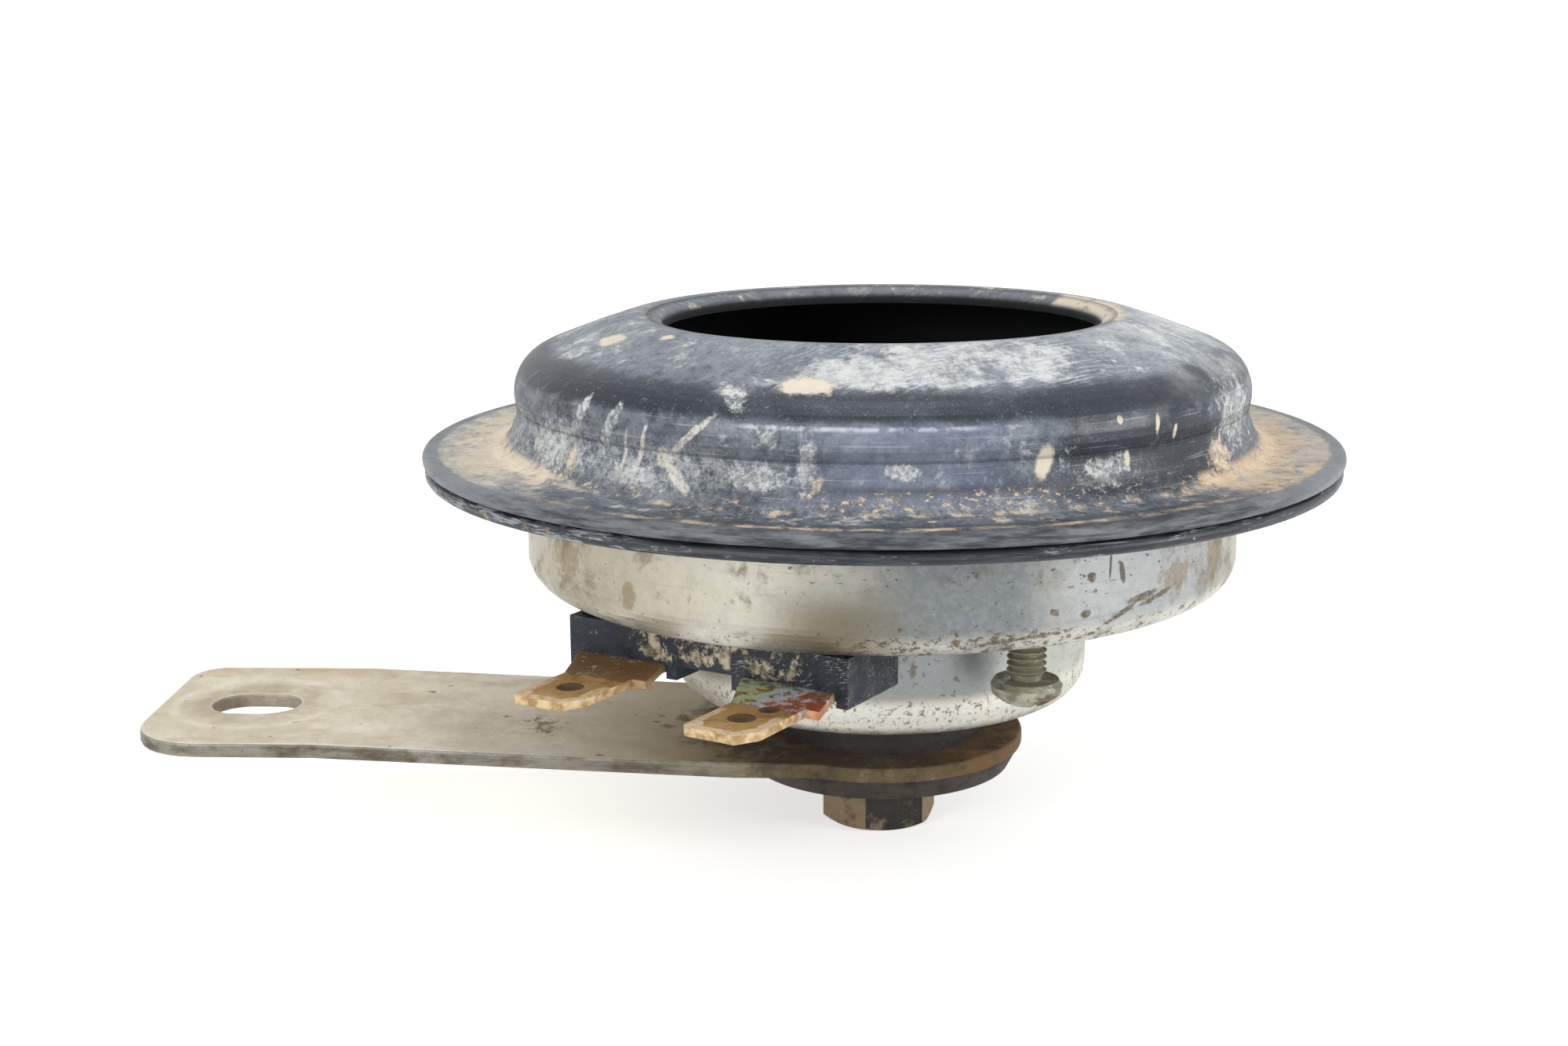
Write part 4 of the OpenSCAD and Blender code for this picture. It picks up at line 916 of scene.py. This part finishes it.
# Painted shade: an olive-brown darkening towards the stud, under the case.
shaded = step(radius, 40.0, 18.0)
colour = coat(colour, (134, 115, 68), shaded, 0.8)
rust_level = wear(0.76, (near_stud, -0.46), (times(side, band(along, -12.0, 40.0, 6.0)), -0.05))
rust = patches(wandering, 4.0, rust_level, 0.17, 7.0, 0.76)
rust_colour = mix(cloud(place, 2.4, seed=8.0), (28, 23, 16), (62, 46, 28))
rust_colour = coat(rust_colour, (80, 67, 43), side, near_stud,
                   patches(place, 1.6, 0.47, 0.1, 9.0, 0.75))
rust_colour = coat(rust_colour, (96, 66, 34), near_stud, band(angle, 28.0, 100.0, 10.0),
                   patches(place, 3.0, 0.44, 0.1, 16.0))
colour = coat(colour, rust_colour, rust, 0.9)
strip_side = times(side, minus(1.0, near_stud))
edge_wear = patches(stretched(place, 1.0, 0.3, 2.0), 1.8, 0.47, 0.14, 10.0, 0.7)
side_colour = mix(edge_wear, (48, 46, 40), (112, 109, 100))
colour = coat(colour, side_colour, strip_side, 0.85)
side_rust = times(strip_side, patches(stretched(place, 1.0, 0.5, 1.0), 1.8, 0.56, 0.12, 11.0, 0.75))
colour = coat(colour, (84, 66, 42), side_rust, 0.7)
flecks = times(specks(place, 2.2, 0.16, 0.3, 12.0, 0.5), 0.6)
colour = coat(colour, (84, 64, 46), flecks)
slot_wall = times(side, band(along, -4.8, 4.8, 0.2), band(across, -3.6, 3.6, 0.2))
colour = coat(colour, mix(cloud(place, 2.6, seed=17.0), (104, 86, 62), (206, 196, 180)),
              slot_wall, 0.7)
from_slot = length(joined(across, along))
washer_line = times(top, band(from_slot, 7.6, 8.5, 0.35), patches(place, 3.0, 0.46, 0.14, 18.0))
colour = coat(colour, (228, 222, 208), washer_line, 0.5)
washer_stain = times(top, step(from_slot, 8.0, 5.6), patches(place, 4.0, 0.47, 0.16, 19.0))
colour = coat(colour, (146, 122, 90), washer_stain, 0.45)
far_level = wear(0.62, (step(across, -6.0, -11.0), -0.12))
far_stain = times(top, patches(stretched(place, 1.0, 0.6, 1.0), 4.0, far_level, 0.12, 20.0))
colour = coat(colour, (172, 136, 92), far_stain, 0.45)
# Painted highlight: a pale line on the rounded upper edges.
edge_highlight = times(band(normal[2], 0.4, 0.93, 0.04), minus(1.0, near_stud),
                    patches(place, 2.4, 0.42, 0.14, 21.0, 0.7))
colour = coat(colour, (204, 206, 206), edge_highlight, 0.7)
dull = most(rust, side_rust, marks_dark, flecks)
roughness = blend(dull, blend(cloud(place, 3.0, seed=13.0), 0.42, 0.64), 0.88)
metal = blend(dull, 0.4, 0.0)
bump = wear(times(cloud(place, 0.5, 4.0, seed=14.0), 0.4), (rust, 0.3),
            (times(rust, cloud(place, 1.0, seed=15.0)), 0.8))
surface(colour, roughness, bump, 0.14, metal)
dress(strip, "bracket")
print("bracket zinc:", len(place.id_data.nodes), "nodes")

# %% [markdown]
# The dished washer and the nut sit lowest and are the rustiest. Rust isn't one brown: it goes
# from near-black through red-brown to a pale tan dust, so the colour mixes three steps at two
# scales. One function serves the washer and the spacer. The nut has its own finish, because
# the facet in front is cleaner than the others.

# %% Rusty washer, nut and spacer
def rusty(name, seed, dark, brown, tan, tan_level, dark_level, edge_tone):
    made, place = new_finish(name)
    wandering = bend(place, 3.0, 1.6, seed)
    colour = mix(cloud(place, 2.2, seed=seed + 1.0), brown, edge_tone)
    blotches = patches(wandering, 2.2, tan_level, 0.1, seed + 2.0, 0.74)
    colour = coat(colour, tan, blotches, 0.8)
    shadowed = patches(wandering, 2.8, dark_level, 0.1, seed + 3.0, 0.72)
    colour = coat(colour, dark, shadowed, 0.85)
    scale = specks(place, 0.9, 0.12, 0.4, seed + 4.0, 0.7)
    colour = coat(colour, dark, scale, 0.6)
    roughness = blend(blotches, 0.62, 0.92)
    bump = wear(times(cloud(place, 0.6, 5.0, 0.7, seed + 5.0), 0.8), (blotches, 0.25), (scale, -0.2))
    surface(colour, roughness, bump, 0.16)
    return made


washer_rust = rusty("rusty_steel", 10.0, (20, 17, 12), (38, 30, 18), (80, 64, 38), 0.57, 0.48, (50, 38, 22))
dress(washer_rust, "dished_washer")
spacer_rust = rusty("spacer_dark", 30.0, (18, 15, 13), (38, 30, 24), (84, 66, 46), 0.64, 0.5, (30, 24, 20))
dress(spacer_rust, "spacer_washer")

nut_rust, place = new_finish("nut_steel")
normal = axes_of(own_normal(place))
front_facet = step(absolute(normal[0]), 0.75, 0.92)
tan_level = wear(0.38, (front_facet, 0.26))
colour = mix(cloud(place, 2.0, seed=50.0), (24, 25, 27), (54, 48, 41))
tan = patches(place, 2.4, tan_level, 0.14, 51.0, 0.72)
colour = coat(colour, (146, 126, 96), tan, 0.85)
rub = scratches(turned(place, 20.0), 3.0, 0.16, 0.62, 52.0)
colour = coat(colour, (124, 122, 118), rub, 0.5)
roughness = blend(tan, 0.45, 0.86)
metal = blend(tan, 0.55, 0.0)
bump = wear(times(cloud(place, 0.5, 5.0, 0.7, 53.0), 0.6), (tan, 0.3), (rub, -0.15))
surface(colour, roughness, bump, 0.12, metal)
dress(nut_rust, "mounting_nut")
print("rusty finishes: washer, spacer, nut")

# %% [markdown]
# The blades are brass that has gone brown. Dust stays along their bevelled edges as a pale
# line, and verdigris, a bluish-green salt, grows where brass meets the block and water
# collects. Both blades point 29 degrees away from the horn's front, so a Mapping node turns the
# place until X runs along the blade. The distance to its outline then gives the bevel.

# %% Blade brass
BLADE_TURN = -29.0
BLADE_END = 43.7
BLADE_HALF = 3.15
TIP_HALF = 1.95
TIP_SLOPE = (0.514, 0.857)
LEFT_MIDDLE, RIGHT_MIDDLE = -7.95, 9.25
LATCH_HOLE = (39.5, 0.0, 1.05)
SMALL_HOLE = (36.5, 0.75, 0.75)


def blade_finish(name, middle, seed, wet, *holes):
    """A blade's brass; wet is its share of salts, and a hole is its place along, across and radius."""
    made, place = new_finish(name)
    turn = turned(place, BLADE_TURN)
    out, across, _ = axes_of(turn)
    across = minus(across, middle)
    from_middle = absolute(across)
    normal = axes_of(own_normal(place))
    flat = step(absolute(normal[2]), 0.5, 0.7)
    root = step(plus(out, times(cloud(place, 1.4, seed=seed), 3.0)), 38.3, 37.4)
    colour = mix(cloud(place, 3.4, seed=seed + 1.0), (158, 120, 66), (214, 174, 108))
    dusty = patches(place, 3.0, 0.52, 0.16, seed + 2.0, 0.74)
    colour = coat(colour, (186, 154, 108), dusty, 0.3)
    dark = patches(place, 2.4, 0.58, 0.12, seed + 3.0, 0.74)
    colour = coat(colour, (92, 70, 38), dark, 0.42)
    rubs = scratches(turned(turn, 20.0), 3.0, 0.12, 0.62, seed + 4.0)
    colour = coat(colour, (186, 154, 100), rubs, 0.45)
    tip = minus(BLADE_END, out)
    side = minus(BLADE_HALF, from_middle)
    cut = plus(times(tip, TIP_SLOPE[0]), times(minus(TIP_HALF, from_middle), TIP_SLOPE[1]))
    inset = least(tip, side, cut)
    inset = plus(inset, times(minus(cloud(place, 1.0, seed=seed + 5.0), 0.5), 0.8))
    bevel = times(step(inset, 1.0, 0.72), step(out, 37.6, 38.6), flat)
    powder = times(bevel, patches(place, 0.8, 0.4, 0.12, seed + 6.0, 0.8))
    tip_powder = times(flat, step(out, 40.8, 43.2), patches(place, 0.9, 0.56, 0.1, seed + 14.0, 0.8))
    powder = most(powder, times(tip_powder, 0.7))
    powder_colour = mix(cloud(place, 0.8, seed=seed + 15.0), (196, 168, 132), (236, 218, 192))
    colour = coat(colour, powder_colour, powder, 0.85)
    root_colour = mix(cloud(place, 1.6, seed=seed + 7.0), (84, 60, 38), (130, 92, 56))
    colour = coat(colour, root_colour, root, 0.7)
    salt_level = wear(0.66 - 0.19 * wet, (step(across, 0.2, 1.6), 0.1))
    salt = times(root, patches(place, 1.2, salt_level, 0.08, seed + 8.0, 0.8))
    salt_colour = mix(step(across, -1.0, -2.4), (182, 192, 202), (176, 190, 148))
    copper_level = wear(0.71 - 0.15 * wet, (step(across, 0.0, 1.6), -0.12 * wet))
    copper = times(root, patches(place, 1.6, copper_level, 0.07, seed + 9.0, 0.78))
    colour = coat(colour, (184, 92, 58), copper, 0.85)
    colour = coat(colour, salt_colour, salt, 0.8)
    green_line = patches(place, 0.8, 0.72 - 0.22 * wet, 0.08, seed + 16.0, 0.8)
    green_line = times(band(out, 29.8, 31.0, 0.4), green_line)
    colour = coat(colour, (92, 140, 126), green_line, 0.8)
    crumbs = times(specks(place, 1.3, 0.06, 0.3, seed + 10.0, 0.4), 0.8)
    colour = coat(colour, (220, 208, 186), crumbs)
    edge = minus(1.0, flat)
    bright = patches(place, 1.2, 0.5, 0.12, seed + 11.0)
    edge_colour = mix(bright, (150, 122, 80), (206, 184, 146))
    colour = coat(colour, edge_colour, edge, blend(root, 0.85, 0.3))
    # Painted shade: dark brown inside and round the holes, whose walls would otherwise show lit brass.
    hole_shades = []
    for hole_out, hole_across, hole_radius in holes:
        from_hole = length(joined(minus(out, hole_out), minus(across, hole_across)))
        hole_shades.append(step(from_hole, hole_radius + 0.22, hole_radius + 0.06))
    grime = most(*hole_shades)
    colour = coat(colour, mix(cloud(place, 0.7, seed=seed + 17.0), (34, 24, 14), (74, 50, 28)),
                  grime, 0.92)
    dull = most(salt, powder, grime, times(dusty, 0.5), crumbs)
    roughness = blend(dull, blend(cloud(place, 2.0, seed=seed + 12.0), 0.36, 0.62), 0.9)
    metal = blend(dull, 0.6, 0.05)
    bump = wear(times(cloud(place, 0.4, 4.0, seed=seed + 13.0), 0.35), (salt, 0.4), (copper, 0.2),
                (bevel, -0.9), (rubs, -0.12))
    surface(colour, roughness, bump, 0.12, metal)
    return made


dress(blade_finish("terminal_brass_left", LEFT_MIDDLE, 60.0, 0.25, LATCH_HOLE), "terminal_left")
right_brass = blade_finish("terminal_brass_right", RIGHT_MIDDLE, 80.0, 1.0, LATCH_HOLE, SMALL_HOLE)
dress(right_brass, "terminal_right")
print("blade brass ready")

# %% [markdown]
# The terminal block is moulded black resin. Dried mud has flaked off most of it and is left on
# the middle of the beam, where the case above shelters it, and fine white scratches cross its
# right end.

# %% Block resin
block, place = new_finish("block_bakelite")
_, height, angle = polar(place)
colour = mix(cloud(place, 3.0, seed=1.0), (9, 12, 17), (27, 33, 42))
dusty = patches(place, 2.6, 0.52, 0.14, 2.0, 0.75)
colour = coat(colour, (82, 91, 102), dusty, 0.3)
middle = band(angle, -44.0, -13.0, 4.0)
beam = step(height, -16.4, -15.2)
mud_level = wear(0.705, (times(middle, beam), -0.14), (beam, -0.06), (middle, -0.025))
mud = patches(bend(place, 1.6, 0.8, 3.0), 1.9, mud_level, 0.04, 4.0, 0.8)
mud_colour = mix(step(cloud(place, 0.7, seed=5.0), 0.36, 0.64), (106, 97, 80), (186, 176, 154))
fine = scratches(turned(bend(place, 6.0, 2.5, 6.0), 58.0, 30.0), 2.6, 0.12, 0.56, 7.0)
fine = times(fine, step(angle, -28.0, -18.0, 0.12, 1.0))
colour = coat(colour, (184, 186, 186), fine, patches(place, 2.4, 0.5, 0.12, 11.0, 0.7), 0.85)
flecks = times(specks(place, 0.9, 0.1, 0.35, 8.0, 0.6), 0.7)
colour = coat(colour, (168, 162, 152), flecks)
colour = coat(colour, mud_colour, mud, 0.92)
roughness = blend(most(mud, dusty), 0.42, 0.9)
bump = wear(times(cloud(place, 0.4, 4.0, seed=9.0), 0.3), (mud, 0.6), (fine, -0.15),
            (cloud(place, 1.6, seed=10.0), 0.3))
surface(colour, roughness, bump, 0.13, 0.0, 0.3)
dress(block, "terminal_block")
print("block resin:", len(place.id_data.nodes), "nodes")

# %% [markdown]
# The adjusting screw is zinc plated and greasy. The grease is olive brown and thin on the
# crests, so the thread's crests and the head's edge are brighter than their hollows.

# %% Screw zinc
SCREW_HEAD = (20.6, 77.4, 11.0)
screw, place = new_finish("screw_zinc", SCREW_HEAD)
x, y, up = axes_of(place)
from_axis = length(joined(x, y))
thread = step(up, -0.1, 0.1)
colour = mix(cloud(place, 2.0, seed=1.0), (130, 128, 114), (172, 170, 156))
colour = coat(colour, (84, 80, 62), thread, step(from_axis, 1.75, 1.45))
grime_level = wear(0.48, (thread, -0.02), (step(up, -1.5, -2.4), 0.08))
grime = patches(place, 1.8, grime_level, 0.12, 2.0, 0.72)
colour = coat(colour, (92, 84, 54), grime, 0.66)
brown = times(mark(place, 3.0, -12.0, -1.3, (1.4, 1.3, 0.45), 0.0, 0.6), 0.75)
colour = coat(colour, (92, 66, 38), brown)
flecks = times(specks(place, 0.8, 0.09, 0.35, 3.0, 0.5), 0.6)
colour = coat(colour, (92, 78, 54), flecks)
dull = most(grime, brown, flecks)
roughness = blend(dull, 0.28, 0.7)
metal = blend(dull, 0.8, 0.25)
bump = wear(times(cloud(place, 0.35, 4.0, seed=4.0), 0.4), (grime, 0.3))
surface(colour, roughness, bump, 0.07, metal)
dress(screw, "adjusting_screw")

# %% [markdown]
# The pieces inside the case are cleaner, and their finishes are simpler: metals with a lathe's or
# press's marks, moulded plastic, varnished wire, fibre and gasket paper. One function serves
# them all, with the tone, the direction of the marks and the share of oil or tarnish.

# %% Finishes of the inner pieces
def inner(name, tones, metallic, smooth, rough, seed, drawn=(1.0, 1.0, 6.0), lines_share=0.3, depth=0.05):
    """A plain finish; tones are its dark, its light and its tarnish."""
    made, place = new_finish(name)
    low, high, tarnish = tones
    colour = mix(cloud(place, 4.0, seed=seed), low, high)
    lines = scratches(stretched(place, *drawn), 2.5, 0.5, 0.55, seed + 1.0)
    colour = coat(colour, high, lines, lines_share)
    spots = patches(place, 2.6, 0.58, 0.1, seed + 2.0, 0.7)
    colour = coat(colour, tarnish, spots, 0.6)
    grain = cloud(place, 0.4, 4.0, seed=seed + 3.0)
    roughness = blend(most(spots, times(grain, 0.4)), smooth, rough)
    bump = wear(times(grain, 0.5), (lines, 0.3), (spots, 0.1))
    surface(colour, roughness, bump, depth, metallic)
    return made


inner_kinds = {
    "spring_steel": (((150, 154, 160), (196, 200, 204), (120, 104, 86)), 0.9, 0.25, 0.5),
    "disc_aluminium": (((158, 160, 164), (200, 202, 204), (128, 126, 120)), 0.9, 0.34, 0.6),
    "core_iron": (((112, 108, 102), (156, 150, 142), (86, 66, 48)), 0.8, 0.36, 0.66),
    "plated_steel": (((164, 160, 148), (206, 202, 190), (128, 110, 78)), 0.8, 0.3, 0.6),
    "bush_brass": (((186, 146, 74), (222, 184, 108), (126, 92, 46)), 0.9, 0.28, 0.55),
    "spring_bronze": (((182, 124, 72), (214, 158, 98), (120, 74, 44)), 0.9, 0.28, 0.55),
    "contact_metal": (((158, 158, 158), (206, 206, 204), (66, 62, 60)), 0.85, 0.35, 0.7),
    "terminal_brass_inner": (((170, 132, 74), (206, 168, 100), (112, 82, 46)), 0.85, 0.32, 0.6),
    "fibre": (((112, 50, 34), (146, 70, 46), (84, 40, 30)), 0.0, 0.5, 0.75),
    "insulator_paper": (((124, 62, 40), (152, 84, 56), (90, 46, 34)), 0.0, 0.5, 0.75),
    "gasket_paper": (((122, 112, 94), (152, 140, 118), (86, 74, 58)), 0.0, 0.7, 0.92),
    "bobbin_plastic": (((206, 196, 170), (226, 218, 196), (178, 160, 124)), 0.0, 0.38, 0.6),
}
inner_marks = {
    "fibre": ((1.0, 1.0, 5.0), 0.4),
    "insulator_paper": ((1.0, 1.0, 8.0), 0.4),
    "gasket_paper": ((2.0, 2.0, 2.0), 0.3, 0.08),
    "bobbin_plastic": ((1.0, 1.0, 3.0), 0.2),
}
inner_pieces = {
    "spring_steel": ("diaphragm", "disc_lock_washer"),
    "disc_aluminium": ("tone_disc",),
    "core_iron": ("pole_core", "armature", "disc_spacer"),
    "plated_steel": ("disc_nut", "breaker_base", "breaker_clamp", "breaker_rivets"),
    "bush_brass": ("adjuster_bush",),
    "spring_bronze": ("fixed_contact_spring", "moving_contact_spring", "breaker_lead"),
    "contact_metal": ("fixed_contact", "moving_contact"),
    "terminal_brass_inner": ("terminal_rivets", "terminal_lugs"),
    "fibre": ("pusher_post", "adjuster_cap"),
    "insulator_paper": ("breaker_insulators", "terminal_insulators"),
    "gasket_paper": ("front_gasket", "rear_gasket"),
    "bobbin_plastic": ("coil_bobbin",),
}
for index, (name, kind) in enumerate(inner_kinds.items()):
    dress(inner(name, *kind, 100.0 + 10.0 * index, *inner_marks.get(name, ())), *inner_pieces[name])
print("inner finishes ready")

# %% [markdown]
# The winding is one solid in the model, so its turns are drawn by its finish: a wave in height
# whose period is the wire's thickness, which bumps each turn and paints shade in the grooves
# between turns, with a slight wander where layers cross. The two leads are the same varnished wire.

# %% Enamelled wire
wire, place = new_finish("enamelled_wire")
wave = {"wave_type": "BANDS", "bands_direction": "Z", "wave_profile": "SIN"}
layers = {"Vector": bend(place, 8.0, 0.15, 1.0), "Scale": 0.62, "Distortion": 0.4, "Detail": 1.0}
turns = derive("ShaderNodeTexWave", wave, layers).outputs["Fac"]
colour = mix(cloud(place, 3.0, seed=2.0), (150, 70, 34), (190, 98, 50))
# Painted shade between the turns.
colour = coat(colour, (66, 28, 16), minus(1.0, turns), 0.7)
varnish = patches(place, 3.0, 0.55, 0.12, 3.0)
colour = coat(colour, (96, 42, 22), varnish, 0.4)
roughness = blend(varnish, 0.22, 0.45)
bump = wear(times(turns, 0.8), (cloud(place, 0.6, seed=4.0), 0.1))
surface(colour, roughness, bump, 0.25, 0.3)
dress(wire, "coil_winding", "coil_lead_in", "coil_lead_out")
bare = sorted(set(nodes) - set(dressed))
print("finishes on", len(dressed), "nodes; without one:", bare)

# %% [markdown]
# No cut, pressed or moulded piece has knife edges: they are broken a little, and catch the light
# as a fine line. The solids keep plain edges, so the pieces near the camera get a rounded copy
# here, which takes the solid's place. The triangles of each flat face are joined first, because
# a bevel needs whole faces on both sides of an edge.

# %% Rounded edges
SHARP_CORNER = math.radians(38.0)
FLAT_ENOUGH = math.radians(0.6)
STAYS_SHARP = math.radians(50.0)
SAME_POINT = 1e-7
BOX_SLACK = 1e-6


def softened(name, width):
    """Rounds a node's sharp edges in a copy that stands for it."""
    source = nodes[name]
    bm = bmesh.new()
    bm.from_mesh(source.data)
    bmesh.ops.remove_doubles(bm, verts=bm.verts, dist=SAME_POINT)
    bmesh.ops.dissolve_limit(bm, angle_limit=FLAT_ENOUGH, verts=bm.verts, edges=bm.edges)
    sharp = [edge for edge in bm.edges
             if len(edge.link_faces) == 2 and edge.calc_face_angle(0.0) > SHARP_CORNER]
    bmesh.ops.bevel(bm, geom=sharp, offset=width, offset_type="OFFSET", segments=2, profile=0.5,
                    affect="EDGES", clamp_overlap=True)
    for face in bm.faces:
        face.smooth = True
    bmesh.ops.triangulate(bm, faces=[face for face in bm.faces if len(face.verts) > 4])
    mesh = bpy.data.meshes.new(name + "_rounded")
    bm.to_mesh(mesh)
    bm.free()
    mesh.set_sharp_from_angle(angle=STAYS_SHARP)
    mesh.materials.append(source.material_slots[0].material)
    made = bpy.data.objects.new(name + "_rounded", mesh)
    bpy.context.scene.collection.objects.link(made)
    made.modifiers.new("weighted normals", "WEIGHTED_NORMAL").keep_sharp = True
    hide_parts(name)
    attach(made, source["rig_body"])
    low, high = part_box(name)
    for vertex in mesh.vertices:
        inside = all(low[axis] - BOX_SLACK <= vertex.co[axis] <= high[axis] + BOX_SLACK for axis in range(3))
        assert inside, (name, vertex.co)
    print(name, "rounded:", len(sharp), "edges,", len(mesh.polygons), "faces")


softened("bracket", 0.00030)
softened("terminal_block", 0.00025)
softened("terminal_left", 0.00016)
softened("terminal_right", 0.00016)
softened("mounting_nut", 0.00022)

# %% [markdown]
# The box of everything that stands in the scene is written down beside the box of the solids.
# The rounded edges lie inside their solids, so the two agree to a few hundredths of a millimetre.

size = {"cad": [list(v) for v in cad_box], "visual": [list(v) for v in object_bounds()]}
print("sizes:", size)
